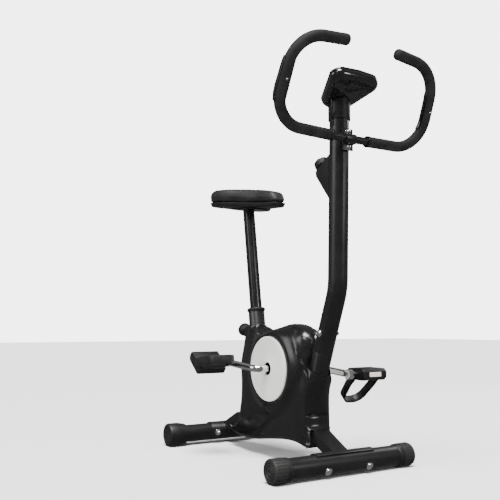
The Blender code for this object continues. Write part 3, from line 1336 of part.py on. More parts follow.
def build_shroud(shop):
    shop.solver = "MANIFOLD"
    for label, side in (("right", -1), ("left", 1)):
        shell = shroud_solid(shop, f"shroud_{label}", 0)
        shop.join(shell, boss_ring(side))
        inner = shroud_solid(shop, "room", SHROUD_WALL)
        shop.bake(inner)
        room = inner.data.copy()
        bpy.data.objects.remove(inner, do_unlink=True)
        shop.cut(shell, room)
        recess = cylinder(
            "recess", CRANK_CENTRE,
            CRANK_CENTRE + Y_AXIS * side * (DISC_FACE_Y - DISC_THICKNESS - GAP - SHROUD_WALL),
            BOSS_RADIUS - 0.008, 36,
        )
        shop.cut(shell, recess)
        other = Matrix.Translation((0, -side * 0.2 + side * GAP / 2, 0.2))
        shop.cut(shell, box("half", (1.0, 0.4, 1.0), other))
        out = Y_AXIS * side * 0.08
        axle_hole = DISC_HOLE_RADIUS + 0.004
        shop.cut(shell, cylinder("axle_hole", CRANK_CENTRE, CRANK_CENTRE + out, axle_hole, 32))
        seat_hole = SEAT_TUBE_RADIUS + GAP
        shop.cut(shell, cylinder("seat_hole", seat_axis(-0.30), seat_axis(0), seat_hole, ROUND))
        shop.cut(shell, post_clearance())
        shop.cut(shell, front_mask())
        shop.cut(shell, beam_room())
        pin = seat_axis(PIN_HEIGHT)
        shop.cut(shell, cylinder("pin_hole", pin, pin + PIN_DIR * 0.1, 0.0125, SMALL))
        shop.bake(shell)
        disc_cover(shop, f"disc_cover_{label}", side)
    front_cover(shop)


def beam_room():
    """Channel that the base beam runs through."""
    top = BEAM_HEIGHT_MID + BEAM_HEIGHT / 2 + 0.0005
    outline = [(-0.3, 0.03), (0.3, 0.03), (0.3, top), (-0.3, top)]
    half = BEAM_WIDTH / 2 + 0.0005
    return prism("beam_room", outline, -half, half, frame_to((0, 0, 0), -Y_AXIS, X_AXIS))


def front_mask():
    """Everything in front of the plane through the post's lower axis."""
    low, high = lower_post(0.0), lower_post(0.5)
    outline = [
        (low.x - 0.002, low.z), (low.x + 0.3, low.z), (high.x + 0.3, high.z), (high.x - 0.002, high.z),
    ]
    return prism("front", outline, -0.1, 0.1, frame_to((0, 0, 0), -Y_AXIS, X_AXIS))


def disc_cover(shop, name, side):
    """Round silvery cover with a shallow outer ring and a hole for the crank."""
    face, back = DISC_FACE_Y, DISC_FACE_Y - DISC_THICKNESS
    r = DISC_RADIUS
    profile = [
        (DISC_HOLE_RADIUS, face + 0.002), (DISC_HOLE_RADIUS + 0.006, face + 0.002),
        (r * 0.86, face + 0.0008), (r * 0.88, face + 0.0002), (r - 0.002, face),
        (r, face - 0.0015), (r, back), (DISC_HOLE_RADIUS, back),
    ]
    mesh = turned(name, profile, frame_to(CRANK_CENTRE, Y_AXIS * side), 36)
    return shop.piece(name, mesh, white_plastic())


def front_cover(shop):
    """Half-round channel in front of the frame's lower post."""
    low, high = lower_post(COVER_FOOT_Z), lower_post(COVER_TOP_Z)
    mesh = cylinder("front_cover", low, high, SHROUD_FRONT_HALF_WIDTH - 0.0005, ROUND)
    cover = shop.piece("front_cover", mesh, black_plastic())
    shop.cut(cover, cylinder("post", lower_post(0.05), lower_post(0.3), POST_RADIUS + 0.0008, ROUND))
    low, high = lower_post(0.0), lower_post(0.5)
    outline = [
        (low.x - 0.3, low.z), (low.x - 0.002 + GAP, low.z),
        (high.x - 0.002 + GAP, high.z), (high.x - 0.3, high.z),
    ]
    shop.cut(cover, beam_room())
    shop.cut(cover, prism("rear", outline, -0.1, 0.1, frame_to((0, 0, 0), -Y_AXIS, X_AXIS)))
    shop.bake(cover)


def centre_bike():
    """Put the origin under the middle of the bike's outer box."""
    bpy.context.view_layer.update()
    graph = bpy.context.evaluated_depsgraph_get()
    xs = []
    for item in bpy.data.collections["exercise_bike"].objects:
        if item.type == "MESH":
            done = item.evaluated_get(graph)
            xs += [(item.matrix_world @ Vector(c)).x for c in done.bound_box]
    shift = (min(xs) + max(xs)) / 2
    for item in bpy.data.objects:
        if item.parent is None:
            item.location.x -= shift
    return shift


def main():
    clear_scene()
    shop = Workshop()
    frame = build_frame(shop)
    build_brake_post(shop, frame)
    build_base(shop)
    build_drive(shop)
    build_crank(shop)
    build_brake(shop)
    for label, side, turn in (("right", -1, RIGHT_PEDAL_TURN), ("left", 1, LEFT_PEDAL_TURN)):
        build_pedal(shop, label, side, turn)
    build_seat(shop)
    build_seat_pin(shop)
    build_post(shop)
    build_handlebar(shop)
    build_clamp(shop)
    build_tension(shop)
    build_console(shop)
    build_shroud(shop)
    print("origin moved by", centre_bike())


main()
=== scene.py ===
"""Upright exercise bike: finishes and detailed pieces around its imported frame.

Metres, +X towards the handlebar end, +Y the rider's left, +Z up. Each operator makes
one piece or one group of like pieces; main() runs them all in order.
"""

import json
import math
from contextlib import contextmanager

import bpy
from mathutils import Matrix, Vector


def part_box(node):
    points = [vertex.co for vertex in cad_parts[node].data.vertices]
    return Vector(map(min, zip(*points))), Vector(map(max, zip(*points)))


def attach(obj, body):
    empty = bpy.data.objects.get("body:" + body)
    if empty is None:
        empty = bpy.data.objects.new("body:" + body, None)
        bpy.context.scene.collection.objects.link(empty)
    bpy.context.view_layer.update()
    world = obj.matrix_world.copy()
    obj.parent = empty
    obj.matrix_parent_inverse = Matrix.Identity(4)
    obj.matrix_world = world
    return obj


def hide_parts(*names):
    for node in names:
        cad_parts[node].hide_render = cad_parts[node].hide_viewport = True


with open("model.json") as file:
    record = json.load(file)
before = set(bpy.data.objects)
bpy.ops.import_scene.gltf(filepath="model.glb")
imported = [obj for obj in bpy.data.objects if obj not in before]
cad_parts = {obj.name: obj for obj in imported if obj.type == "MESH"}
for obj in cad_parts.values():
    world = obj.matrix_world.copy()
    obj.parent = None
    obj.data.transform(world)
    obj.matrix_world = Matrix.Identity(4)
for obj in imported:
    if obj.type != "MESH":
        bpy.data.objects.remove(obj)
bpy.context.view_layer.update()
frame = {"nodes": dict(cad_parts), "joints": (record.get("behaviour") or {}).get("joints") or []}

bl_info = {
    "name": "Exercise Bike",
    "version": (1, 0, 0),
    "blender": (4, 5, 0),
    "location": "View3D > Sidebar > Exercise Bike",
    "description": "Adds an upright exercise bike piece by piece",
    "category": "Add Mesh",
}

LEFT = Vector((0, 1, 0))
AHEAD = Vector((1, 0, 0))
SIDES = (("right", -1), ("left", 1))

JOINTS = {joint["name"]: joint for joint in frame["joints"]}


def pivot(name):
    return Vector(JOINTS[name]["pos_m"])


CRANK = pivot("crank_spin")
FLYWHEEL = pivot("flywheel_spin")
BAR = pivot("handlebar_tilt")
SHELL_BOX = (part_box("shroud_right")[0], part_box("shroud_left")[1])

# Lines that many pieces lie along
SEAT_LINE = Vector(JOINTS["seat_height"]["axis"]).normalized()
SEAT_FOOT = Vector((-0.16996, 0, 0.4))
POST_LEAN = math.radians(22)
POST_LINE = Vector((math.sin(POST_LEAN), 0, math.cos(POST_LEAN)))
POST_FOOT = CRANK + Vector((0.1602, 0, 0.040))
BAR_LEAN = math.radians(24.7)
BAR_UP = Vector((math.sin(BAR_LEAN), 0, math.cos(BAR_LEAN)))
BAR_FRONT = Vector((math.cos(BAR_LEAN), 0, -math.sin(BAR_LEAN)))


# ---- picking and editing -----------------------------------------------------
def drop_all():
    if bpy.context.object and bpy.context.object.mode != "OBJECT":
        bpy.ops.object.mode_set(mode="OBJECT")
    bpy.ops.object.select_all(action="DESELECT")


def take(piece, *others):
    drop_all()
    for item in (piece, *others):
        item.select_set(True)
    bpy.context.view_layer.objects.active = piece


@contextmanager
def editing(piece, everything=True, element="VERT"):
    """Edit mode on one piece, with all of it or none of it selected."""
    take(piece)
    bpy.ops.object.mode_set(mode="EDIT")
    bpy.ops.mesh.select_mode(type=element)
    bpy.ops.mesh.select_all(action="SELECT" if everything else "DESELECT")
    yield
    bpy.ops.object.mode_set(mode="OBJECT")


def pick_faces(piece, wanted):
    """In edit mode: select the faces whose centre and normal pass a test."""
    bpy.ops.object.mode_set(mode="OBJECT")
    for face in piece.data.polygons:
        face.select = bool(wanted(face.center, face.normal))
    bpy.ops.object.mode_set(mode="EDIT")
    bpy.ops.mesh.select_mode(type="FACE")


def settle(piece, place=None):
    """Put a piece at its place and make that place part of its mesh."""
    take(piece)
    if place is not None:
        piece.matrix_world = place @ piece.matrix_world
    bpy.ops.object.transform_apply(location=True, rotation=True, scale=True)
    return piece


def apply_modifier(piece, kind, **settings):
    """Add a modifier with its settings and apply it."""
    take(piece)
    made = piece.modifiers.new(kind.lower(), kind)
    for key, value in settings.items():
        setattr(made, key, value)
    bpy.ops.object.modifier_apply(modifier=made.name)


def cut_with(piece, cutter):
    apply_modifier(piece, "BOOLEAN", operation="DIFFERENCE", solver="EXACT", object=cutter)
    bpy.data.objects.remove(cutter, do_unlink=True)


def smooth(piece, degrees=38):
    take(piece)
    bpy.ops.object.shade_smooth_by_angle(angle=math.radians(degrees))


def mend(piece):
    """Close doubled corners and turn every face outwards."""
    with editing(piece):
        bpy.ops.mesh.remove_doubles(threshold=1e-5)
        bpy.ops.mesh.normals_make_consistent(inside=False)


def facing(centre, axis, across=None):
    """A place whose Z runs along axis and whose X runs as near across as it can."""
    z = Vector(axis).normalized()
    hint = Vector(across) if across is not None else (AHEAD if abs(z.x) < 0.9 else LEFT)
    x = (hint - z * hint.dot(z)).normalized()
    turn = Matrix((x, z.cross(x), z)).transposed().to_4x4()
    return Matrix.Translation(Vector(centre)) @ turn


def dress(piece, name, body, material, slot, *nodes):
    """Name a finished piece, give it its finish, and let it ride on its body."""
    piece.name = name
    piece.data.materials.clear()
    piece.data.materials.append(material)
    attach(piece, body)
    if nodes:
        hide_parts(*nodes)
    return piece


# ---- ways of making a shape -----------------------------------------------------
def drawn(name, points, closed=False):
    """Edges through the points, drawn by extruding one corner from each to the next."""
    drop_all()
    bpy.ops.mesh.primitive_plane_add(size=0.01)
    piece = bpy.context.object
    piece.name = name
    with editing(piece):
        bpy.ops.mesh.merge(type="CENTER")
        bpy.ops.transform.translate(value=Vector(points[0]))
        for here, there in zip(points, points[1:]):
            step = Vector(there) - Vector(here)
            bpy.ops.mesh.extrude_region_move(TRANSFORM_OT_translate={"value": step})
        if closed:
            bpy.ops.mesh.select_all(action="SELECT")
            bpy.ops.mesh.edge_face_add()
    return piece


def turned(name, profile, place, steps=48):
    """A profile of (radius, height) points, spun round the place's Z axis."""
    piece = drawn(name, [(radius, 0, height) for radius, height in profile])
    with editing(piece):
        bpy.ops.mesh.spin(steps=steps, angle=math.tau, center=(0, 0, 0), axis=(0, 0, 1))
    mend(piece)
    return settle(piece, place)


def slab(name, outline, low, high, place=None, bevel=0.0, segments=3):
    """An outline in X and Y, raised from low to high, with its rims rounded."""
    piece = drawn(name, [(x, y, low) for x, y in outline], closed=True)
    with editing(piece, element="FACE"):
        bpy.ops.mesh.extrude_region_move(TRANSFORM_OT_translate={"value": (0, 0, high - low)})
    mend(piece)
    if bevel:
        round_edges(piece, bevel, segments, 50)
    return settle(piece, place if place is not None else Matrix())


def lofted(name, rings):
    """Closed rings of points, bridged one to the next, with both ends filled."""
    made = [drawn(name, [*ring, ring[0]]) for ring in rings]
    piece = joined(*made)
    mend_open(piece)
    with editing(piece, element="EDGE"):
        bpy.ops.mesh.bridge_edge_loops(type="SINGLE")
    with editing(piece, everything=False, element="EDGE"):
        pick_rims(wires=True)
        bpy.ops.mesh.edge_face_add()
    mend(piece)
    return piece


def mend_open(piece):
    with editing(piece):
        bpy.ops.mesh.remove_doubles(threshold=1e-6)


def round_edges(piece, width, segments=2, degrees=40):
    apply_modifier(
        piece, "BEVEL", width=width, segments=segments, limit_method="ANGLE",
        angle_limit=math.radians(degrees), harden_normals=False, use_clamp_overlap=True,
    )


def tube(name, points, radius, sides=6, swell=None):
    """A round bar along the points. swell gives the share of the radius at each one."""
    drop_all()
    bpy.ops.curve.primitive_nurbs_path_add()
    wire = bpy.context.object
    wire.name = name
    wire.data.splines.clear()
    spline = wire.data.splines.new("POLY")
    spline.points.add(len(points) - 1)
    for i, point in enumerate(points):
        spline.points[i].co = (*point, 1)
        spline.points[i].radius = swell[i] if swell else 1
    wire.data.dimensions = "3D"
    wire.data.bevel_depth = radius
    wire.data.bevel_resolution = sides
    wire.data.use_fill_caps = True
    bpy.ops.object.convert(target="MESH")
    piece = bpy.context.object
    mend(piece)
    return settle(piece)


def cuboid(size, place):
    drop_all()
    bpy.ops.mesh.primitive_cube_add(size=1)
    piece = bpy.context.object
    piece.scale = size
    return settle(piece, place)


def cylinder(radius, depth, place, sides=48):
    drop_all()
    bpy.ops.mesh.primitive_cylinder_add(vertices=sides, radius=radius, depth=depth)
    return settle(bpy.context.object, place)


def slice_all(spots, normal):
    """In edit mode: cut all that is shown by planes through the spots."""
    for spot in spots:
        bpy.ops.mesh.select_all(action="SELECT")
        bpy.ops.mesh.bisect(plane_co=spot, plane_no=normal)


def pick_rims(wires):
    """In edit mode: select the open edges, with or without loose wires."""
    bpy.ops.mesh.select_non_manifold(
        extend=False, use_wire=wires, use_boundary=True, use_multi_face=False,
        use_non_contiguous=False, use_verts=False,
    )


def reach_of(node, side):
    """A node's box, the end of it nearest the centre plane, and its length outwards."""
    low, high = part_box(node)
    start, end = (high.y, low.y) if side < 0 else (low.y, high.y)
    return low, high, start, abs(end - start)


def joined(piece, *others):
    """Several shapes as one piece."""
    take(piece, *others)
    bpy.ops.object.join()
    return piece


def mirrored(piece, name):
    """A copy of a piece on the other side of the bike."""
    take(piece)
    bpy.ops.object.duplicate()
    copy = bpy.context.object
    copy.name = name
    copy.parent = None
    with editing(copy):
        bpy.ops.transform.mirror(constraint_axis=(False, True, False), center_override=(0, 0, 0))
        bpy.ops.mesh.normals_make_consistent(inside=False)
    return copy


def from_frame(node, name, bevel=0.0, segments=2, degrees=34, tidy=True):
    """A merged copy of a CAD node, with its edges rounded."""
    drop_all()
    source = frame["nodes"][node]
    source.hide_set(False)
    take(source)
    bpy.ops.object.duplicate()
    piece = bpy.context.object
    piece.name = name
    piece.parent = None
    for key in list(piece.keys()):
        if key.startswith("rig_"):
            del piece[key]
    with editing(piece):
        bpy.ops.mesh.remove_doubles(threshold=1e-6)
        if tidy:
            bpy.ops.mesh.dissolve_limited(angle_limit=math.radians(0.6))
        bpy.ops.mesh.normals_make_consistent(inside=False)
    if bevel:
        round_edges(piece, bevel, segments, degrees)
    smooth(piece, degrees)
    return piece


def rounded_path(corners, radii, steps=6):
    """Corner points with each inner one turned into an arc of its radius."""
    corners = [Vector(c) for c in corners]
    path = [corners[0]]
    for i, radius in enumerate(radii, start=1):
        here = corners[i]
        back, ahead = (corners[i - 1] - here).normalized(), (corners[i + 1] - here).normalized()
        half = back.angle(ahead) / 2
        run = radius / math.tan(half)
        centre = here + (back + ahead).normalized() * (radius / math.sin(half))
        start, stop = here + back * run - centre, here + ahead * run - centre
        sweep = start.angle(stop)
        for k in range(steps + 1):
            share = k / steps
            arm = (start * math.sin((1 - share) * sweep) + stop * math.sin(share * sweep)) / math.sin(sweep)
            path.append(centre + arm)
    return path + [corners[-1]]


def flowing(points, steps=4, closed=True):
    """A smooth curve through given points."""
    points = [Vector(p) for p in points]
    count = len(points)
    made = []
    for i in range(count if closed else count - 1):
        a, b, c, d = (
            points[(i + k - 1) % count] if closed else points[min(max(i + k - 1, 0), count - 1)]
            for k in range(4)
        )
        for s in range(steps):
            t = s / steps
            made.append(0.5 * (2 * b + (c - a) * t + (2 * a - 5 * b + 4 * c - d) * t * t
                               + (3 * b - a - 3 * c + d) * t ** 3))
    return made if closed else made + [points[-1]]


# ---- materials ------------------------------------------------------------------
class Flow:
    """A socket's value inside one material, which takes part in sums."""

    def __init__(self, paint, socket):
        self.paint = paint
        self.socket = socket

    def sum_node(self, operation, first, second):
        return self.paint.node("ShaderNodeMath", {"operation": operation}, {0: first, 1: second})

    def __add__(self, other):
        return self.sum_node("ADD", self, other)

    __radd__ = __add__

    def __mul__(self, other):
        return self.sum_node("MULTIPLY", self, other)

    __rmul__ = __mul__

    def __sub__(self, other):
        return self.sum_node("SUBTRACT", self, other)

    def __rsub__(self, other):
        return self.sum_node("SUBTRACT", other, self)

    def __pow__(self, other):
        return self.sum_node("POWER", self, other)


class Paint:
    """One procedural material on a Principled shader."""

    def __init__(self, name, roughness=0.5, metallic=0.0, specular=0.5, coat=0.0):
        self.material = bpy.data.materials.new(name)
        self.material.use_nodes = True
        self.tree = self.material.node_tree
        self.tree.nodes.clear()
        self.out = self.tree.nodes.new("ShaderNodeOutputMaterial")
        self.shader = self.tree.nodes.new("ShaderNodeBsdfPrincipled")
        self.tree.links.new(self.shader.outputs[0], self.out.inputs[0])
        self.shader.inputs["Metallic"].default_value = metallic
        self.shader.inputs["Roughness"].default_value = roughness
        self.shader.inputs["Specular IOR Level"].default_value = specular
        self.shader.inputs["Coat Weight"].default_value = coat
        self.shader.inputs["Coat Roughness"].default_value = 0.12

    def node(self, kind, settings=None, values=None, output=0):
        """A node of any type: its settings first, then the values or links of its sockets."""
        made = self.tree.nodes.new(kind)
        for key, value in (settings or {}).items():
            if key == "stops":
                self.set_stops(made.color_ramp, value)
            else:
                setattr(made, key, value)
        for key, value in (values or {}).items():
            self.feed(made.inputs[key], value)
        return Flow(self, made.outputs[output])

    @staticmethod
    def set_stops(ramp, stops):
        while len(ramp.elements) < len(stops):
            ramp.elements.new(0.5)
        for element, (place, shade) in zip(ramp.elements, stops):
            element.position = place
            element.color = (shade, shade, shade, 1) if isinstance(shade, float) else (*shade, 1)

    def feed(self, socket, value):
        if isinstance(value, Flow):
            self.tree.links.new(value.socket, socket)
        elif hasattr(value, "__len__") and len(value) == 3 and socket.type == "RGBA":
            socket.default_value = (*value, 1)
        else:
            socket.default_value = value

    def set(self, socket, value):
        self.feed(self.shader.inputs[socket], value)

    def here(self, scale=(1, 1, 1), centre=(0, 0, 0)):
        """Object coordinates, moved to a centre and stretched."""
        spot = self.node("ShaderNodeTexCoord", output=3)
        return self.node(
            "ShaderNodeMapping", None,
            {"Vector": spot, "Location": [-c * s for c, s in zip(centre, scale)], "Scale": scale},
        )

    def noise(self, place, scale, detail=3.0, rough=0.55):
        return self.node(
            "ShaderNodeTexNoise", None,
            {"Vector": place, "Scale": scale, "Detail": detail, "Roughness": rough},
        )

    def cells(self, place, scale, feature="F1"):
        return self.node("ShaderNodeTexVoronoi", {"feature": feature}, {"Vector": place, "Scale": scale})

    def ramp(self, value, *stops):
        return self.node("ShaderNodeValToRGB", {"stops": stops}, {"Fac": value})

    def blend(self, share, first, second):
        """A colour between two, by share."""
        return self.node(
            "ShaderNodeMix", {"data_type": "RGBA"}, {0: share, 6: first, 7: second}, output=2
        )

    def dull(self, pattern, low, high):
        """Roughness that a pattern varies from low to high."""
        self.set("Roughness", self.ramp(pattern, (0.3, low), (0.8, high)))

    def lighten(self, name, pattern, start, stop, gain, lift):
        """A base colour, with a lighter one where a pattern rises from start to stop."""
        base = colour(name)
        lighter = tuple(c * gain + lift for c in base)
        self.set("Base Color", self.blend(self.ramp(pattern, (start, 0.0), (stop, 1.0)), base, lighter))

    def bump(self, height, strength, distance, under=None):
        values = {"Height": height, "Strength": strength, "Distance": distance}
        if under:
            values["Normal"] = under
        return self.node("ShaderNodeBump", None, values)


def colour(name):
    return tuple(getattr(bpy.context.scene.bike_colours, name))


MADE = {}


def finish(maker):
    """Each finish is made once and shared by the pieces that have it."""
    if maker.__name__ not in MADE:
        MADE[maker.__name__] = maker().material
    return MADE[maker.__name__]


def powder_coat():
    """Satin black powder coat: faint orange peel, a little dust on top."""
    paint = Paint("powder_coat", specular=0.4)
    spot = paint.here()
    patches = paint.noise(spot, 14, 4)
    peel = paint.noise(spot, 900, 2)
    paint.lighten("coat", patches, 0.35, 0.75, 1.5, 0.002)
    paint.dull(paint.noise(spot, 30, 5), 0.30, 0.42)
    paint.set("Normal", paint.bump(peel, 0.06, 0.0006))
    return paint


def tube_coat():
    """The same coat on the seat post, rubbed to a shine by the sleeve it slides in."""
    paint = Paint("post_coat", specular=0.5)
    spot = paint.here((60, 60, 2.0))
    streaks = paint.noise(spot, 6, 5)
    fine = paint.noise(paint.here(), 900, 2)
    paint.lighten("coat", streaks, 0.45, 0.75, 1.8, 0.004)
    paint.dull(streaks, 0.24, 0.36)
    paint.set("Normal", paint.bump(fine, 0.05, 0.0005))
    return paint


def shell_plastic():
    """Black shell moulding, between satin and gloss, with faint flow marks."""
    paint = Paint("shell_plastic", specular=0.45)
    spot = paint.here()
    flow = paint.noise(paint.here((1, 1, 0.4)), 9, 4)
    fine = paint.noise(spot, 1400, 2)
    paint.lighten("shell", flow, 0.3, 0.8, 1.35, 0.001)
    paint.dull(paint.noise(spot, 26, 5), 0.20, 0.29)
    paint.set("Normal", paint.bump(fine, 0.05, 0.0004))
    return paint


def grained_plastic():
    """Matt black moulding with a fine leathery grain."""
    paint = Paint("grained_plastic", specular=0.3)
    spot = paint.here()
    grain = paint.cells(spot, 950, "SMOOTH_F1")
    speck = paint.noise(spot, 380, 4)
    paint.lighten("plastic", speck, 0.35, 0.8, 1.5, 0.002)
    paint.dull(paint.noise(spot, 60, 4), 0.44, 0.58)
    paint.set("Normal", paint.bump(grain, 0.18, 0.0005))
    return paint


def glossy_plastic():
    """Polished black plastic of the console's shell."""
    paint = Paint("glossy_plastic", specular=0.5, coat=0.3)
    spot = paint.here()
    smear = paint.noise(spot, 40, 5)
    paint.set("Base Color", paint.blend(smear, colour("shell"), tuple(c * 1.3 for c in colour("shell"))))
    paint.dull(smear, 0.10, 0.20)
    paint.set("Normal", paint.bump(paint.noise(spot, 60, 2), 0.03, 0.001))
    return paint


def foam_rubber():
    """Closed-cell foam: dull, with small pores."""
    paint = Paint("foam_rubber", specular=0.2)
    spot = paint.here()
    pores = paint.cells(spot, 700)
    worn = paint.noise(spot, 22, 4)
    paint.lighten("foam", worn, 0.35, 0.75, 1.7, 0.003)
    paint.dull(worn, 0.68, 0.82)
    under = paint.bump(paint.noise(spot, 260, 5), 0.12, 0.0008)
    paint.set("Normal", paint.bump(pores, 0.30, 0.0006, under))
    return paint


def vinyl():
    """Soft black vinyl with a pebbled grain."""
    paint = Paint("saddle_vinyl", specular=0.25)
    spot = paint.here()
    pebbles = paint.cells(spot, 520, "SMOOTH_F1")
    folds = paint.noise(spot, 18, 5)
    paint.lighten("vinyl", folds, 0.35, 0.75, 1.6, 0.002)
    paint.dull(paint.noise(spot, 90, 4), 0.48, 0.64)
    under = paint.bump(folds, 0.10, 0.004)
    paint.set("Normal", paint.bump(pebbles, 0.35, 0.0007, under))
    return paint


def bright_chrome():
    """Chrome plate with hairline polishing marks."""
    paint = Paint("bright_chrome", roughness=0.1, metallic=1.0)
    spot = paint.here()
    marks = paint.noise(paint.here((1, 12, 12)), 220, 4)
    haze = paint.noise(spot, 45, 4)
    paint.set("Base Color", paint.blend(haze, (0.74, 0.74, 0.75), (0.90, 0.90, 0.91)))
    paint.dull(haze, 0.05, 0.16)
    paint.set("Normal", paint.bump(marks, 0.03, 0.0004))
    return paint


def zinc_steel():
    """Zinc-plated turned steel."""
    paint = Paint("zinc_steel", roughness=0.3, metallic=1.0)
    spot = paint.here()
    stain = paint.noise(spot, 70, 5)
    paint.set("Base Color", paint.blend(stain, (0.42, 0.42, 0.43), (0.66, 0.66, 0.67)))
    paint.dull(stain, 0.24, 0.42)
    paint.set("Normal", paint.bump(paint.noise(spot, 700, 2), 0.08, 0.0004))
    return paint


def disc_plastic():
    """Silver-white disc: satin, with a cloudy, slightly brushed look."""
    paint = Paint("disc_plastic", specular=0.4)
    place = paint.here(centre=tuple(CRANK))
    cloud = paint.noise(place, 16, 5, 0.6)
    speck = paint.noise(place, 1500, 2)
    base = colour("disc")
    darker = tuple(c * 0.88 for c in base)
    shade = paint.blend(paint.ramp(cloud, (0.3, 0.0), (0.75, 1.0)), darker, base)
    paint.set("Base Color", paint.blend(paint.ramp(speck, (0.55, 0.0), (0.8, 0.25)), shade, darker))
    paint.dull(cloud, 0.38, 0.50)
    paint.set("Normal", paint.bump(speck, 0.05, 0.0003))
    return paint


def strap_plastic():
    """Soft black strap, a little shiny where it is handled."""
    paint = Paint("strap_plastic", specular=0.3)
    spot = paint.here()
    rub = paint.noise(spot, 60, 4)
    paint.set("Base Color", paint.blend(rub, (0.004, 0.004, 0.004), (0.010, 0.010, 0.010)))
    paint.dull(rub, 0.36, 0.56)
    paint.set("Normal", paint.bump(paint.noise(spot, 500, 3), 0.12, 0.0005))
    return paint


def hard_rubber():
    """Hard black rubber of the transport rollers."""
    paint = Paint("hard_rubber", specular=0.35)
    spot = paint.here()
    dust = paint.noise(spot, 50, 5)
    paint.set("Base Color", paint.blend(dust, (0.005, 0.005, 0.005), (0.014, 0.0135, 0.013)))
    paint.dull(dust, 0.55, 0.75)
    paint.set("Normal", paint.bump(paint.noise(spot, 420, 4), 0.15, 0.0006))
    return paint


def reflector_lens():
    """Pale prismatic lens with a grid of small facets."""
    paint = Paint("reflector_lens", specular=0.6, coat=0.5)
    place = paint.here()
    facets = paint.cells(place, 380)
    tint = paint.noise(place, 90, 3)
    paint.set("Base Color", paint.blend(tint, (0.62, 0.55, 0.47), (0.80, 0.76, 0.69)))
    paint.set("Roughness", paint.ramp(facets, (0.0, 0.12), (0.8, 0.30)))
    paint.set("Normal", paint.bump(facets, 0.4, 0.001))
    return paint


def display_glass():
    """Grey-green display behind a clear window."""
    paint = Paint("display_glass", specular=0.5, coat=0.8)
    place = paint.here()
    tone = paint.noise(place, 30, 3)
    lines = paint.node(
        "ShaderNodeTexWave", {"wave_type": "BANDS", "bands_direction": "Y"}, {"Vector": place, "Scale": 130},
    )
    base = paint.blend(tone, (0.20, 0.23, 0.19), (0.27, 0.30, 0.25))
    line = paint.ramp(lines, (0.82, 0.0), (0.95, 0.5))
    paint.set("Base Color", paint.blend(line, base, (0.12, 0.14, 0.12)))
    paint.dull(tone, 0.14, 0.22)
    return paint


def key_rubber():
    """Grey silicone key."""
    paint = Paint("key_rubber", specular=0.3)
    place = paint.here()
    tone = paint.noise(place, 200, 4)
    paint.set("Base Color", paint.blend(tone, (0.26, 0.26, 0.27), (0.36, 0.36, 0.37)))
    paint.dull(tone, 0.52, 0.66)
    return paint


def dark_recess():
    """Unlit inside of a hole."""
    paint = Paint("dark_recess", roughness=0.9, specular=0.1)
    tone = paint.noise(paint.here(), 90, 3)
    paint.set("Base Color", paint.blend(tone, (0.003, 0.003, 0.003), (0.008, 0.008, 0.008)))
    return paint


def turned_iron():
    """Dark iron with rings left by the lathe."""
    paint = Paint("turned_iron", roughness=0.4, metallic=0.9)
    place = paint.here(centre=tuple(FLYWHEEL))
    rings = paint.node(
        "ShaderNodeTexWave", {"wave_type": "RINGS", "rings_direction": "Y"},
        {"Vector": place, "Scale": 260, "Distortion": 0.4},
    )
    paint.set("Base Color", paint.blend(paint.noise(place, 30, 4), (0.14, 0.14, 0.15), (0.26, 0.26, 0.27)))
    paint.set("Roughness", paint.ramp(rings, (0.2, 0.34), (0.8, 0.5)))
    paint.set("Normal", paint.bump(rings, 0.1, 0.0003))
    return paint


# ---- sizes and colours --------------------------------------------------------------
def metres(name, description, default):
    return bpy.props.FloatProperty(name=name, description=description, default=default, unit="LENGTH")


def tint(name, description, *default):
    return bpy.props.FloatVectorProperty(
        name=name, description=description, subtype="COLOR", default=default, min=0, max=1,
    )


class BikeSizes(bpy.types.PropertyGroup):
    """Sizes of the detailed pieces."""

    shell_edge: metres("Shell edge", "Rounding of the shell's outer edge", 0.0085)
    shell_wall: metres("Shell wall", "Thickness of the shell", 0.0022)
    dome_edge: metres("Dome edge", "Rounding of the shell over the flywheel", 0.040)
    disc_radius: metres("Disc radius", "Outer radius of each disc cover", 0.085)
    disc_hole: metres("Disc hole", "Radius of the hole that the crank passes through", 0.017)
    grip_radius: metres("Grip radius", "Outer radius of the foam grips", 0.0137)
    bar_radius: metres("Bar radius", "Radius of the bare handlebar", 0.0096)
    crank_radius: metres("Crank radius", "Radius of the crank's rod", 0.0092)
    pad_swell: bpy.props.FloatProperty(
        name="Saddle swell", description="Air pressure that fills the saddle's cover",
        default=2.4, min=0, max=10,
    )
    edge: metres("Edge", "Rounding of the edges of small pieces", 0.0012)


class BikeColours(bpy.types.PropertyGroup):
    """Base colours of the finishes."""

    coat: tint("Powder coat", "Frame, posts and handlebar", 0.0034, 0.0034, 0.0036)
    shell: tint("Shell", "Moulded shell round the drive", 0.0036, 0.0036, 0.0038)
    plastic: tint("Black plastic", "Caps, knobs, pedals and housings", 0.0042, 0.0042, 0.0042)
    foam: tint("Foam", "Handlebar grips", 0.0060, 0.0060, 0.0064)
    vinyl: tint("Vinyl", "Saddle cover", 0.008, 0.008, 0.0085)
    disc: tint("Disc", "Disc covers over the crank", 0.62, 0.62, 0.585)


def sizes():
    return bpy.context.scene.bike_sizes


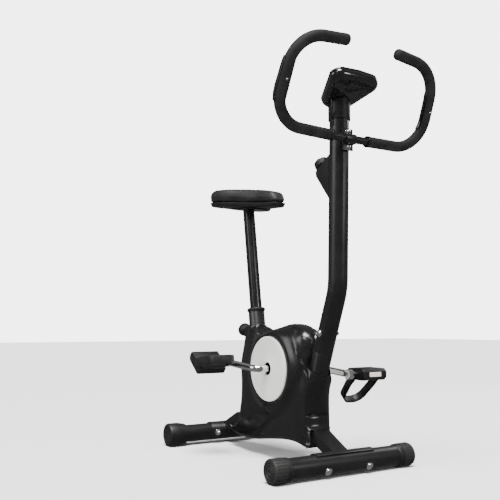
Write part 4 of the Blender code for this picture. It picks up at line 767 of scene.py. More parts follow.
# ---- shell --------------------------------------------------------------------------
# Side view in X and Z from the crank's centre, anticlockwise from the rear toe
SHELL_POINTS = (
    (-0.245, -0.186), (-0.192, -0.200), (-0.107, -0.198), (-0.022, -0.186), (0.058, -0.177),
    (0.108, -0.178), (0.1475, -0.1855), (0.1450, -0.160), (0.1385, -0.132), (0.1375, -0.090),
    (0.1400, -0.062), (0.1470, -0.036), (0.1440, -0.014), (0.134, 0.014), (0.139, 0.040),
    (0.142, 0.066), (0.126, 0.094), (0.092, 0.112), (0.050, 0.1185), (0.004, 0.1085),
    (-0.030, 0.094), (-0.062, 0.0885), (-0.094, 0.094), (-0.118, 0.1105), (-0.148, 0.1125),
    (-0.176, 0.106), (-0.171, 0.030), (-0.163, -0.046), (-0.168, -0.106), (-0.188, -0.150),
    (-0.222, -0.172),
)
# The crease that runs from the dome past the collar and down to the rear toe
CREASE = (
    (0.082, 0.112), (0.098, 0.085), (0.116, 0.052), (0.1225, 0.012), (0.1165, -0.015),
    (0.085, -0.055), (0.039, -0.097), (-0.0335, -0.146), (-0.085, -0.179), (-0.12, -0.20),
)
CREASE_LINE = [tuple(p) for p in flowing(CREASE, 4, closed=False)]
BADGE = (
    (-0.191, -0.188), (-0.147, -0.157), (-0.101, -0.135), (-0.0565, -0.1254), (-0.032, -0.131),
    (-0.035, -0.144), (-0.069, -0.164), (-0.120, -0.182), (-0.160, -0.1905),
)
HALF_WIDTH = 0.047
RIM_STEPS = (0.0003, 0.0010, 0.0016, 0.0022, 0.0028, 0.0034)
GRID_X, GRID_Z = 82, 66
SEAM_GAP = 0.0002  # half the parting line between the two halves
FRONT_HALF_WIDTH = 0.0345
# Where the front cover's corner lies at each height above the crank, and its mesh rows
FRONT_LINE = (
    (-0.143, 0.1480), (-0.139, 0.1425), (-0.130, 0.1395), (-0.118, 0.1395), (-0.1105, 0.1380),
    (-0.1085, 0.1360), (-0.1065, 0.1360), (-0.1050, 0.1395), (-0.090, 0.1390), (-0.075, 0.1400),
    (-0.060, 0.1425), (-0.045, 0.1465), (-0.030, 0.1520), (-0.0215, 0.1550),
)
FRONT_ROWS = tuple(height for height, _ in FRONT_LINE[1:-1])
FRONT_COLUMNS = (-0.024, -0.016, -0.008, 0, 0.008, 0.016, 0.024)
DISC_SEAT = 0.0872  # radius of the shallow seat that the disc lies in
DISC_SEAT_HALF_WIDTH = 0.0555
BOSS_RADIUS = 0.0930
BOSS_FOOT = 0.132


def ease(low, high, value):
    share = min(max((value - low) / (high - low), 0), 1)
    return share * share * (3 - 2 * share)


def along(value, *stops):
    """Height of a line through (place, height) stops, rising by place."""
    for (ax, ay), (bx, by) in zip(stops, stops[1:]):
        if value <= bx:
            return ay + (by - ay) * min(max((value - ax) / (bx - ax), 0), 1)
    return stops[-1][1]


def to_line(x, z, line, closed):
    """Distance to a drawn line, and which side of it the point is on."""
    best, side = 1e9, 1
    count = len(line)
    for i in range(count if closed else count - 1):
        ax, az = line[i][0], line[i][1]
        bx, bz = line[(i + 1) % count][0], line[(i + 1) % count][1]
        dx, dz = bx - ax, bz - az
        long = dx * dx + dz * dz
        share = min(max(((x - ax) * dx + (z - az) * dz) / long, 0), 1) if long else 0
        far = math.hypot(x - ax - dx * share, z - az - dz * share)
        if far < best:
            best = far
            side = 1 if dx * (z - az) - dz * (x - ax) > 0 else -1
    return best, side


def shell_width(x, z):
    """Half width of the shell's flank before its edge is rounded."""
    ax, az = x - CRANK.x, z - CRANK.z
    wide = HALF_WIDTH
    front = ease(0.108, 0.153, ax)
    wide += (FRONT_HALF_WIDTH - HALF_WIDTH) * front
    neck = ease(0.080, 0.125, -ax) * ease(-0.010, 0.100, az)
    wide += (0.0262 - HALF_WIDTH) * neck
    wide -= 0.010 * ease(-0.115, -0.190, az) * ease(-0.10, -0.20, ax)
    rho = math.hypot(ax, az)
    boss = 1 - ease(BOSS_RADIUS - 0.002, BOSS_FOOT, rho)
    wide += 0.0105 * boss ** 1.5
    far, side = to_line(ax, az, CREASE_LINE, False)
    if side < 0:
        wide += 0.0006 * (1 - ease(0, 0.02, far))
    else:
        wide -= 0.0042 * (1 - ease(0.0, 0.034, far)) * ease(0, 0.0045, far) * (1 - boss)
    if rho < DISC_SEAT:
        wide = DISC_SEAT_HALF_WIDTH
    return wide


class BIKE_OT_shell(bpy.types.Operator):
    """Moulded shell in two halves, with a drum round the disc and a creased flank"""

    bl_idname = "bike.shell"
    bl_label = "Shell"

    def execute(self, context):
        half = self.half_shell()
        other = mirrored(half, "shell_left")
        material = finish(shell_plastic)
        dress(half, "shell_right", "root", material, "shell_plastic", "shroud_right")
        dress(other, "shell_left", "root", material, "shell_plastic", "shroud_left")
        return {"FINISHED"}

    def half_shell(self):
        """The right half: an outline, ringed at its rim and gridded inside, then raised."""
        outline = [Vector((p.x + CRANK.x, p.y + CRANK.z)) for p in flowing(SHELL_POINTS, 4)]
        piece = drawn("shell_right", [(p.x, 0, p.y) for p in outline], closed=True)
        low, high = SHELL_BOX
        with editing(piece, element="FACE"):
            for step in RIM_STEPS:
                bpy.ops.mesh.inset(thickness=step, depth=0)
            bpy.ops.mesh.hide(unselected=True)
            for axis, count in ((0, GRID_X), (2, GRID_Z)):
                normal = (1, 0, 0) if axis == 0 else (0, 0, 1)
                slice_all([low.lerp(high, i / count) for i in range(1, count)], normal)
            bpy.ops.mesh.reveal()
        self.raise_flank(piece, outline)
        apply_modifier(piece, "SOLIDIFY", thickness=sizes().shell_wall, offset=-1, use_rim=True)
        for cutter in self.openings():
            cut_with(piece, cutter)
        smooth(piece, 30)
        return piece

    def raise_flank(self, piece, outline):
        """Push each corner out to the flank, falling to the centre plane round the rim."""
        size = sizes()
        rim = [tuple(p) for p in outline]
        for corner in piece.data.vertices:
            x, z = corner.co.x, corner.co.z
            far, _ = to_line(x, z, rim, True)
            wide = shell_width(x, z)
            over_wheel = 1 - ease(0.090, 0.125, math.hypot(x - FLYWHEEL.x, z - FLYWHEEL.z))
            above = ease(CRANK.z + 0.02, CRANK.z + 0.07, z)
            clear = ease(BOSS_RADIUS - 0.004, BOSS_RADIUS + 0.020, math.hypot(x - CRANK.x, z - CRANK.z))
            front = ease(0.112, 0.136, x - CRANK.x) * ease(CRANK.z + 0.010, CRANK.z - 0.010, z)
            edge = size.shell_edge + (size.dome_edge - size.shell_edge) * over_wheel * above * clear
            edge -= (size.shell_edge - 0.0022) * front
            short = max(edge - far, 0)
            corner.co.y = -(wide - edge + math.sqrt(max(edge * edge - short * short, 0)))
        with editing(piece, everything=False, element="EDGE"):
            pick_rims(wires=False)
            bpy.ops.mesh.extrude_edges_move()
            bpy.ops.transform.resize(value=(1, 0, 1), center_override=(0, -SEAM_GAP, 0))
        mend(piece)
        with editing(piece, element="FACE"):
            bpy.ops.mesh.quads_convert_to_tris()
            bpy.ops.mesh.tris_convert_to_quads()
        outwards = sum(face.normal.y * face.area for face in piece.data.polygons)
        if outwards > 0:
            with editing(piece):
                bpy.ops.mesh.flip_normals()

    def openings(self):
        """Cutters for the crank, the seat tube and the lower post."""
        made = []
        for place, radius, length in (
            (facing(CRANK + LEFT * -0.05, LEFT), sizes().disc_hole + 0.0005, 0.03),
            (facing(SEAT_FOOT - SEAT_LINE * 0.06, SEAT_LINE), 0.0239, 0.14),
            (facing(POST_FOOT, POST_LINE), 0.0256, 0.5),
        ):
            made.append(cylinder(radius, length, place))
        return made


# ---- disc covers ----------------------------------------------------------------------
class BIKE_OT_discs(bpy.types.Operator):
    """Two silver-white disc covers with a shallow ring near the edge"""

    bl_idname = "bike.discs"
    bl_label = "Disc covers"

    def execute(self, context):
        size = sizes()
        for label, side in SIDES:
            node = f"disc_cover_{label}"
            _, _, foot, thick = reach_of(node, side)
            out, hole, ring = size.disc_radius, size.disc_hole, size.disc_radius * 0.905
            profile = [
                (hole, 0), (out, 0), (out, thick * 0.55), (out - 0.0012, thick * 0.9),
                (out - 0.003, thick), (ring + 0.0012, thick), (ring + 0.0004, thick - 0.0006),
                (ring - 0.0004, thick - 0.0006), (ring - 0.0012, thick),
                (out * 0.6, thick - 0.0004), (hole + 0.007, thick - 0.0007), (hole + 0.005, thick),
                (hole + 0.0012, thick), (hole, thick - 0.0012), (hole, 0),
            ]
            place = facing((CRANK.x, foot, CRANK.z), LEFT * side)
            disc = turned(node, profile, place, 96)
            smooth(disc, 24)
            dress(disc, f"disc_{label}", "root", finish(disc_plastic), "disc_plastic", node)
        return {"FINISHED"}


# ---- shell trim: neck, collar lip, front panel, badge plates ----------------------------
class BIKE_OT_shell_trim(bpy.types.Operator):
    """Neck round the seat tube, collar lip and front panel round the lower post, side plates"""

    bl_idname = "bike.shell_trim"
    bl_label = "Shell trim"

    def execute(self, context):
        shell = finish(shell_plastic)
        top = -0.0510
        profile = [
            (0.0240, top - 0.030), (0.0240, top - 0.001), (0.0246, top), (0.0262, top - 0.0004),
            (0.0270, top - 0.002), (0.0276, top - 0.010), (0.0270, top - 0.030), (0.0240, top - 0.030),
        ]
        neck = turned("shell_neck", profile, facing(SEAT_FOOT, SEAT_LINE, AHEAD))
        smooth(neck)
        dress(neck, "shell_neck", "root", shell, "shell_plastic")
        self.front_panel(shell)
        self.plates()
        return {"FINISHED"}

    def front_panel(self, shell):
        """Cover in front of the lower post: bowed face, recess step and a flared foot."""
        wide = FRONT_HALF_WIDTH - 0.0002
        outer = rounded_path(
            [(-0.022, -wide, 0), (0, -wide, 0), (0.0004, 0, 0), (0, wide, 0), (-0.022, wide, 0)],
            [0.0030, 0.3, 0.0030], 4,
        )
        inner = [Vector((x, y, 0)) for x, y in (
            (-0.022, wide - 0.003), (-0.003, wide - 0.003), (-0.003, 0.016), (-0.003, 0),
            (-0.003, -0.016), (-0.003, 0.003 - wide), (-0.022, 0.003 - wide),
        )]
        outline = [(p.x, p.y) for p in outer + inner]
        low, high = -0.1430, -0.0215
        panel = slab("front_panel", outline, low, high)
        with editing(panel, element="FACE"):
            slice_all([(0, 0, height) for height in FRONT_ROWS], (0, 0, 1))
            slice_all([(0, across, 0) for across in FRONT_COLUMNS], (0, 1, 0))
        for corner in panel.data.vertices:
            x, y, z = corner.co
            bow = along(z, (-0.105, 0.006), (-0.060, 0.0095), (-0.0215, 0.0120)) * (1 - (y / wide) ** 2)
            corner.co.x += along(z, *FRONT_LINE) + bow
        settle(panel, Matrix.Translation(CRANK))
        mend(panel)
        round_edges(panel, 0.0007, 2, 40)
        smooth(panel, 40)
        dress(panel, "front_panel", "root", shell, "shell_plastic", "front_cover")
        self.collar(shell)

    def collar(self, shell):
        """Sloped lip between the post and the cover's top edge."""
        outer = []
        for x, z in ((0.106, 0.048), (0.114, 0.033), (0.124, 0.018), (0.1345, 0.005), (0.1435, -0.009)):
            outer.append(Vector((x, -shell_width(x + CRANK.x, z + CRANK.z) - 0.0004, z)))
        outer += [Vector(p) for p in (
            (0.1515, -0.0350, -0.0185), (0.1600, -0.0240, -0.0225), (0.1668, 0, -0.0235),
        )]
        inner = [Vector(p) for p in (
            (0.110, -0.0405, 0.056), (0.118, -0.0405, 0.040), (0.1275, -0.0395, 0.026),
            (0.1385, -0.0370, 0.0125), (0.1490, -0.0325, 0.0040), (0.1575, -0.0265, -0.0020),
            (0.1650, -0.0150, -0.0090), (0.1682, 0, -0.0130),
        )]
        outer, inner = flowing(outer, 3, closed=False), flowing(inner, 3, closed=False)
        flip = Vector((1, -1, 1))
        outer += [p * flip for p in reversed(outer[:-1])]
        inner += [p * flip for p in reversed(inner[:-1])]
        pieces = []
        for out, edge in zip(outer, inner):
            inward = Vector((-0.002, 0, 0))
            if abs(out.y) > 0.002:
                inward = Vector((-0.0016, 0.0018 if out.y < 0 else -0.0018, 0))
            ring = [
                out, out.lerp(edge, 0.5) + Vector((0.0003, 0, 0.0006)), edge,
                edge + inward + Vector((0, 0, -0.0030)),
                out + inward * 1.5 + Vector((0, 0, -0.0060)), out + Vector((0, 0, -0.0012)),
            ]
            pieces.append([CRANK + p for p in ring])
        lip = lofted("collar_lip", pieces)
        round_edges(lip, 0.0005, 2, 30)
        smooth(lip, 45)
        dress(lip, "collar_lip", "root", shell, "shell_plastic")

    def plates(self):
        """A plain lens-shaped plate low on each flank, and the moulding's screw recesses."""
        outline = [(p.x, p.y) for p in flowing(BADGE, 4)]
        for label, side in SIDES:
            plate = slab(f"side_plate_{label}", outline, 0, 0.0012)
            with editing(plate, element="FACE"):
                slice_all([(-0.2 + 0.0115 * i, 0, 0) for i in range(1, 16)], (1, 0, 0))
                slice_all([(0, -0.2 + 0.010 * i, 0) for i in range(1, 8)], (0, 1, 0))
            for corner in plate.data.vertices:
                x, z, rise = corner.co
                wide = shell_width(x + CRANK.x, z + CRANK.z) - 0.0004
                corner.co = (x + CRANK.x, side * (wide + rise), z + CRANK.z)
            mend(plate)
            smooth(plate, 30)
            dress(plate, f"side_plate_{label}", "root", finish(glossy_plastic), "shell_plastic")
            for name, x, z, radius in (
                ("low_screw", 0.128, -0.160, 0.0042), ("toe_boss", -0.183, -0.1755, 0.0062),
            ):
                wide = shell_width(x + CRANK.x, z + CRANK.z)
                profile = [
                    (0, -0.001), (radius * 0.7, -0.001), (radius * 0.8, 0.0006), (radius, 0.0008),
                    (radius * 1.1, 0.0002), (radius * 1.1, -0.0025), (0, -0.0025),
                ]
                spot = facing((x + CRANK.x, side * wide, z + CRANK.z), LEFT * side)
                mark = turned(name, profile, spot, 24)
                smooth(mark)
                dress(mark, f"{name}_{label}", "root", finish(dark_recess), "shell_plastic")


# ---- handlebar ---------------------------------------------------------------------------
def bar_line(side):
    """Centre line of one half of the handlebar, from its middle to its tip."""
    def at(across, along):
        return BAR + LEFT * side * across + BAR_UP * along
    return rounded_path(
        [at(0, 0), at(0.230, 0.004), at(0.214, 0.2075), at(0.078, 0.2195)], [0.076, 0.086], 12
    )


def from_start(points, length):
    """What is left of a line past a length from its first point."""
    for i in range(len(points) - 1):
        step = (points[i + 1] - points[i]).length
        if length < step:
            return [points[i].lerp(points[i + 1], length / step)] + points[i + 1:]
        length -= step
    return points[-1:]


class BIKE_OT_handlebar(bpy.types.Operator):
    """Looped handlebar: bare bar, foam grips with end rings, pulse sensors and their screws"""

    bl_idname = "bike.handlebar"
    bl_label = "Handlebar"

    def execute(self, context):
        size = sizes()
        lines = {label: bar_line(side) for label, side in SIDES}
        path = list(reversed(lines["right"])) + lines["left"][1:]
        bar = tube("bar", path, size.bar_radius, 6)
        smooth(bar)
        dress(bar, "bar", "handlebar", finish(powder_coat), "powder_coat", "handlebar")
        for label, side in SIDES:
            self.grip(label, side, lines[label])
        return {"FINISHED"}

    def grip(self, label, side, line):
        size = sizes()
        run = from_start(line, 0.0552)
        over = (run[-1] - run[-2]).normalized()
        start = (run[1] - run[0]).normalized()
        tip = run[-1] + over * 0.0038
        path = [run[0], run[0] + start * 0.0008, run[0] + start * 0.002] + run[1:-1]
        path += [tip - over * 0.0075, tip - over * 0.0045, tip - over * 0.0020, tip - over * 0.0006, tip]
        swell = [0.90, 0.97, 1.0] + [1.0] * (len(path) - 8) + [1.0, 0.975, 0.89, 0.76, 0.62]
        grip = tube("grip", path, size.grip_radius, 10, swell)
        smooth(grip)
        dress(grip, f"foam_grip_{label}", "handlebar", finish(foam_rubber), "foam", f"grip_{label}")
        ring = size.grip_radius + 0.0006
        profile = [
            (size.bar_radius, 0), (ring - 0.0012, 0), (ring, 0.001), (ring, 0.0055), (ring - 0.001, 0.0062),
            (size.bar_radius, 0.0062), (size.bar_radius, 0),
        ]
        collar = turned("grip_collar", profile, facing(run[0] - start * 0.0022, start))
        smooth(collar)
        dress(collar, f"grip_collar_{label}", "handlebar", finish(glossy_plastic), "black_plastic")
        plug = turned(
            "end_plug",
            [(0, -0.004), (0.0072, -0.004), (0.0072, 0.0003), (0.0062, 0.0010), (0.0040, 0.0013),
             (0, 0.0014)],
            facing(tip, over), 32,
        )
        smooth(plug)
        dress(plug, f"end_plug_{label}", "handlebar", finish(grained_plastic), "black_plastic")
        sensor = from_frame(f"pulse_sensor_{label}", "sensor", 0.0022, 3, 30)
        dress(
            sensor, f"pulse_pad_{label}", "handlebar", finish(glossy_plastic), "black_plastic",
            f"pulse_sensor_{label}",
        )
        spot = BAR + LEFT * side * 0.2218 + BAR_UP * 0.1032 + BAR_FRONT * (size.grip_radius - 0.0008)
        head = turned(
            "sensor_screw",
            [(0, -0.002), (0.0030, -0.002), (0.0032, 0.0010), (0.0022, 0.0020), (0.0008, 0.0022),
             (0.0006, 0.0012), (0, 0.0012)],
            facing(spot, BAR_FRONT), 24,
        )
        smooth(head)
        dress(head, f"sensor_screw_{label}", "handlebar", finish(bright_chrome), "chrome")


# ---- clamp and bolts ----------------------------------------------------------------------
def domed_bolt(name, spot, direction, radius, rise):
    """Round coach-bolt head that sits on a washer."""
    profile = [
        (0, -0.001), (radius + 0.0018, -0.001), (radius + 0.0018, 0.0008), (radius, 0.0010),
        (radius * 0.99, rise * 0.35), (radius * 0.86, rise * 0.68), (radius * 0.6, rise * 0.9),
        (radius * 0.3, rise * 0.985), (0, rise),
    ]
    head = turned(name, profile, facing(spot, direction), 40)
    smooth(head, 35)
    return head


def acorn_nut(name, spot, direction, radius):
    """Hexagon nut with a domed cap on a washer."""
    nut = cylinder(radius, radius * 0.9, Matrix.Translation((0, 0, radius * 0.45)), 6)
    round_edges(nut, radius * 0.10, 2, 25)
    high = radius * 0.9
    dome = turned(
        "dome",
        [(0, high - 0.001), (radius * 0.80, high - 0.001), (radius * 0.78, high + radius * 0.22),
         (radius * 0.62, high + radius * 0.52), (radius * 0.34, high + radius * 0.72),
         (0, high + radius * 0.78)],
        Matrix(), 32,
    )
    ring = radius * 1.22
    washer = turned(
        "washer",
        [(0, -0.0008), (ring, -0.0008), (ring, 0.0004), (ring * 0.96, 0.0007), (0, 0.0007)], Matrix(), 32,
    )
    joined(nut, dome, washer)
    nut.name = name
    settle(nut, facing(spot, direction))
    smooth(nut, 35)
    return nut


class BIKE_OT_bolts(bpy.types.Operator):
    """Chrome bolts of the stabilisers, the post seam and the handlebar clamp"""

    bl_idname = "bike.bolts"
    bl_label = "Bolts"

    def execute(self, context):
        self.clamp()
        bright = finish(bright_chrome)
        for label, side in SIDES:
            self.foot_bolt(f"front_bolt_{label}", side, math.radians(26), bright, True)
            self.foot_bolt(f"rear_bolt_{label}", side, 0.0, bright, False)
        low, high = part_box("post_bolt")
        centre = Vector(((low.x + high.x) / 2, 0, (low.z + high.z) / 2))
        head = domed_bolt("post_bolt_head", centre - LEFT * 0.0252, -LEFT, 0.0072, 0.0040)
        nut = acorn_nut("nut", centre + LEFT * 0.0255, LEFT, 0.0062)
        joined(head, nut)
        dress(head, "seam_bolt", "root", bright, "chrome", "post_bolt")
        return {"FINISHED"}

    def foot_bolt(self, node, side, tilt, bright, head_first):
        """A bolt right through a stabiliser, along X tipped by tilt."""
        low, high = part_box(node)
        centre = (low + high) / 2
        way = Vector((math.cos(tilt), 0, -math.sin(tilt)))
        tube_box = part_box("front_stabiliser" if head_first else "rear_stabiliser")
        centre.x = (tube_box[0].x + tube_box[1].x) / 2
        centre.z = (tube_box[0].z + tube_box[1].z) / 2
        outer = 0.0252
        plate = 0.0285
        if head_first:
            head = domed_bolt("head", centre + way * outer, way, 0.0078, 0.0042)
            nut = acorn_nut("nut", centre - way * plate, -way, 0.0068)
        else:
            head = domed_bolt("head", centre - way * outer, -way, 0.0078, 0.0042)
            nut = acorn_nut("nut", centre + way * plate, way, 0.0072)
        joined(head, nut)
        dress(head, node.replace("bolt", "fixing"), "root", bright, "chrome", node)

    def clamp(self):
        clamp = from_frame("handlebar_clamp", "clamp", 0.0009, 2, 34)
        dress(clamp, "bar_clamp", "root", finish(powder_coat), "powder_coat", "handlebar_clamp")
        for label in ("lower", "upper"):
            low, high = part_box(f"clamp_bolt_{label}")
            spot = Vector((high.x - 0.0105, 0, (low.z + high.z) / 2))
            nut = acorn_nut("nut", spot, AHEAD, 0.0062)
            rear = Vector((low.x + 0.0035, 0, spot.z))
            head = domed_bolt("head", rear, -AHEAD, 0.0055, 0.003)
            joined(nut, head)
            dress(
                nut, f"clamp_fixing_{label}", "root", finish(bright_chrome), "chrome",
                f"clamp_bolt_{label}",
            )


# ---- crank and pedals ------------------------------------------------------------------------
class BIKE_OT_crank(bpy.types.Operator):
    """One-piece chrome crank with an eye at each end"""

    bl_idname = "bike.crank"
    bl_label = "Crank"

    def execute(self, context):
        size = sizes()
        halves = {}
        for label, side in SIDES:
            eye = pivot(f"pedal_{label}_spin")
            inward = Vector((CRANK.x - eye.x, 0, CRANK.z - eye.z)).normalized()
            end = eye + inward * 0.006
            halves[label] = rounded_path(
                [CRANK, CRANK + LEFT * side * 0.096, end], [0.026], 12
            )
        path = list(reversed(halves["right"])) + halves["left"][1:]
        rod = tube("rod", path, size.crank_radius, 8)
        eyes = []
        for label, side in SIDES:
            eye = pivot(f"pedal_{label}_spin")
            profile = [
                (0.0066, -0.0078), (0.0122, -0.0078), (0.0134, -0.0066), (0.0134, 0.0066), (0.0122, 0.0078),
                (0.0066, 0.0078), (0.0066, -0.0078),
            ]
            eyes.append(turned("eye", profile, facing(eye, LEFT), 40))
        joined(rod, *eyes)
        smooth(rod, 35)
        dress(rod, "crank_rod", "crank", finish(bright_chrome), "chrome", "crank")
        return {"FINISHED"}


class BIKE_OT_pedals(bpy.types.Operator):
    """Pedals with ribbed treads, reflectors and adjustable straps"""

    bl_idname = "bike.pedals"
    bl_label = "Pedals"

    def execute(self, context):
        for label, side, turn in (("right", -1, 142.0), ("left", 1, 0.0)):
            eye = pivot(f"pedal_{label}_spin")
            centre = Vector((eye.x, side * 0.173, eye.z))
            place = Matrix.Translation(centre) @ Matrix.Rotation(math.radians(-turn), 4, "Y")
            self.block(label, side, place)
            self.strap(label, side, place)
            lens = from_frame(f"pedal_reflector_{label}", "lens", 0.0008, 2, 30)
            dress(
                lens, f"reflector_{label}", f"pedal_{label}", finish(reflector_lens), "reflector",
                f"pedal_reflector_{label}",
            )
        return {"FINISHED"}

    def block(self, label, side, place):
        """Body of a pedal: chamfered block, recessed treads and end pads."""
        body = from_frame(f"pedal_{label}", "block", 0.0016, 2, 30)
        treads = []
        for face in (-1, 1):
            for i in range(5):
                spot = ((i - 2) * 0.0105, 0, face * 0.0150)
                rib = cuboid((0.0052, 0.066, 0.0022), Matrix.Translation(spot))
                round_edges(rib, 0.0009, 2, 40)
                treads.append(rib)
        for rib in treads:
            settle(rib, place)
            smooth(rib)
        joined(body, *treads)
        body.name = f"pedal_block_{label}"
        dress(
            body, f"pedal_block_{label}", f"pedal_{label}", finish(grained_plastic), "black_plastic",
            f"pedal_{label}",
        )

    def strap(self, label, side, place):
        """Band that loops from one side of the pedal to the other, slotted at its free end."""
        half, reach, radius = 0.0419, 0.1035, 0.030
        narrow = half - 0.006
        arc = [
            (reach - radius + radius * math.cos(math.radians(90 - 9 * i)),
             narrow - radius + radius * math.sin(math.radians(90 - 9 * i)))
            for i in range(11)
        ]
        side_line = [(0.0100, half), (0.022, half), (0.036, half)] + arc
        line = side_line + [(x, -y) for x, y in reversed(side_line)]
        thick = 0.0014
        outer, inner = [], []
        for i, (x, y) in enumerate(line):
            back, ahead = line[max(i - 1, 0)], line[min(i + 1, len(line) - 1)]
            run = Vector((ahead[0] - back[0], ahead[1] - back[1])).normalized()
            outer.append((x - run.y * thick, y + run.x * thick))
            inner.append((x + run.y * thick, y - run.x * thick))
        heading = math.radians(-135.0)
        along = Vector((math.cos(heading), 0, math.sin(heading)))
        lay = place @ facing((0, 0, 0), along.cross(LEFT), along)
        band = slab("strap", outer + list(reversed(inner)), -0.0118, 0.0118)
        round_edges(band, 0.0008, 2, 50)
        slots = []
        for i in range(5):
            spot = (0.040 + 0.0072 * i, -side * (half + 0.0010 - 0.0012 * i * 0.55), 0)
            bar = cuboid((0.0030, 0.0016, 0.0150), Matrix.Translation(spot))
            round_edges(bar, 0.0005, 2, 40)
            slots.append(bar)
        spot = (0.0155, -side * (half - 0.0006), 0)
        keeper = cuboid((0.009, 0.0052, 0.0236), Matrix.Translation(spot))
        round_edges(keeper, 0.0011, 2, 40)
        joined(band, keeper, *slots)
        settle(band, lay)
        smooth(band, 35)
        dress(
            band, f"foot_strap_{label}", f"pedal_{label}", finish(strap_plastic), "strap_plastic",
            f"pedal_strap_{label}",
        )


# ---- feet ------------------------------------------------------------------------------------
class BIKE_OT_feet(bpy.types.Operator):
    """Stabiliser end caps: ribbed transport rollers in front, levelling caps behind"""

    bl_idname = "bike.feet"
    bl_label = "Feet"

    def execute(self, context):
        for label, side in SIDES:
            self.roller(label, side)
            self.hub(label, side)
            self.cap(label, side)
        return {"FINISHED"}

    def roller(self, label, side):
        low, high, start, long = reach_of(f"roller_{label}", side)
        centre = (low + high) / 2
        radius = (high.z - low.z) / 2
        profile = [
            (0, 0.004), (0.0152, 0.004), (0.0152, 0), (radius - 0.0008, 0), (radius, 0.0008),
            (radius, long - 0.0050), (radius - 0.0012, long - 0.0016), (radius - 0.0046, long),
            (radius - 0.0075, long), (radius - 0.0080, long - 0.0014), (radius - 0.0112, long - 0.0014),
            (radius - 0.0118, long - 0.0002), (radius - 0.0140, long - 0.0002),
            (radius - 0.0146, long - 0.0014), (radius - 0.0182, long - 0.0014),
            (radius - 0.0188, long - 0.0004), (0.0052, long - 0.0004),
            (0.0044, long - 0.0022), (0, long - 0.0022),
        ]
        wheel = turned("roller", profile, Matrix(), 72)
        with editing(wheel, everything=False, element="FACE"):
            pick_faces(
                wheel,
                lambda spot, way: abs(way.z) < 0.2 and math.hypot(spot.x, spot.y) > radius * 0.97
                and round((math.degrees(math.atan2(spot.y, spot.x)) - 2.5) / 5) % 3 == 0,
            )
            bpy.ops.mesh.inset(thickness=0.0003, depth=-0.0008, use_individual=True)
        settle(wheel, facing((centre.x, start, centre.z), LEFT * side))
        smooth(wheel, 28)
        dress(wheel, f"ribbed_roller_{label}", f"roller_{label}", finish(hard_rubber), "roller_rubber",
              f"roller_{label}")

    def hub(self, label, side):
        low, high, start, long = reach_of(f"roller_hub_{label}", side)
        centre = (low + high) / 2
        radius = (high.z - low.z) / 2
        profile = [
            (0.0154, 0), (radius - 0.0022, 0), (radius, 0.0026), (radius, long - 0.0012),
            (radius - 0.0010, long), (0.0154, long), (0.0154, 0),
        ]
        ring = turned("hub", profile, facing((centre.x, start, centre.z), LEFT * side), 64)
        smooth(ring, 30)
        dress(ring, f"roller_collar_{label}", "root", finish(grained_plastic), "black_plastic",
              f"roller_hub_{label}")

    def cap(self, label, side):
        """Levelling cap: sloped shoulder and a dished end."""
        low, high, start, long = reach_of(f"rear_cap_{label}", side)
        radius = 0.033
        centre = Vector(((low.x + high.x) / 2, 0, high.z - radius))
        inner = 0.0254
        profile = [
            (inner, 0.0125), (inner, 0), (inner + 0.0026, 0), (inner + 0.0038, 0.0012),
            (radius - 0.0006, 0.0205), (radius, 0.0232), (radius, long - 0.0058),
            (radius - 0.0016, long - 0.0018), (radius - 0.0052, long), (radius - 0.0085, long),
            (radius - 0.0095, long - 0.0016), (0, long - 0.0019), (0, 0.0125), (inner, 0.0125),
        ]
        cap = turned("cap", profile, facing((centre.x, start, centre.z), LEFT * side), 72)
        below_floor = Matrix.Translation((centre.x, side * 0.18, -0.025))
        cut_with(cap, cuboid((0.2, 0.4, 0.05), below_floor))
        smooth(cap, 28)
        dress(cap, f"levelling_cap_{label}", "root", finish(grained_plastic), "black_plastic",
              f"rear_cap_{label}")


# ---- saddle -----------------------------------------------------------------------------------
SADDLE_TOP = SEAT_FOOT + SEAT_LINE * 0.306
SADDLE_PLACE = Matrix.Translation(SADDLE_TOP) @ Matrix.Rotation(math.radians(7.0), 4, "Y")


def saddle_plan(inset):
    """Half of the saddle's top view, from its rear to its nose."""
    wide, nose, rear, front = 0.098 - inset, 0.030 - inset, 0.104 - inset, 0.180 - inset
    half = [
        (-rear, 0.0), (-rear, wide * 0.56), (-rear + 0.006, wide * 0.82), (-rear + 0.022, wide * 0.97),
        (-rear + 0.050, wide), (-rear + 0.087, wide * 0.94), (0.020, wide * 0.72), (0.056, wide * 0.50),
        (0.096, nose + 0.006), (front - 0.034, nose), (front - 0.010, nose * 0.85), (front, nose * 0.40),
        (front, 0.0),
    ]
    return half


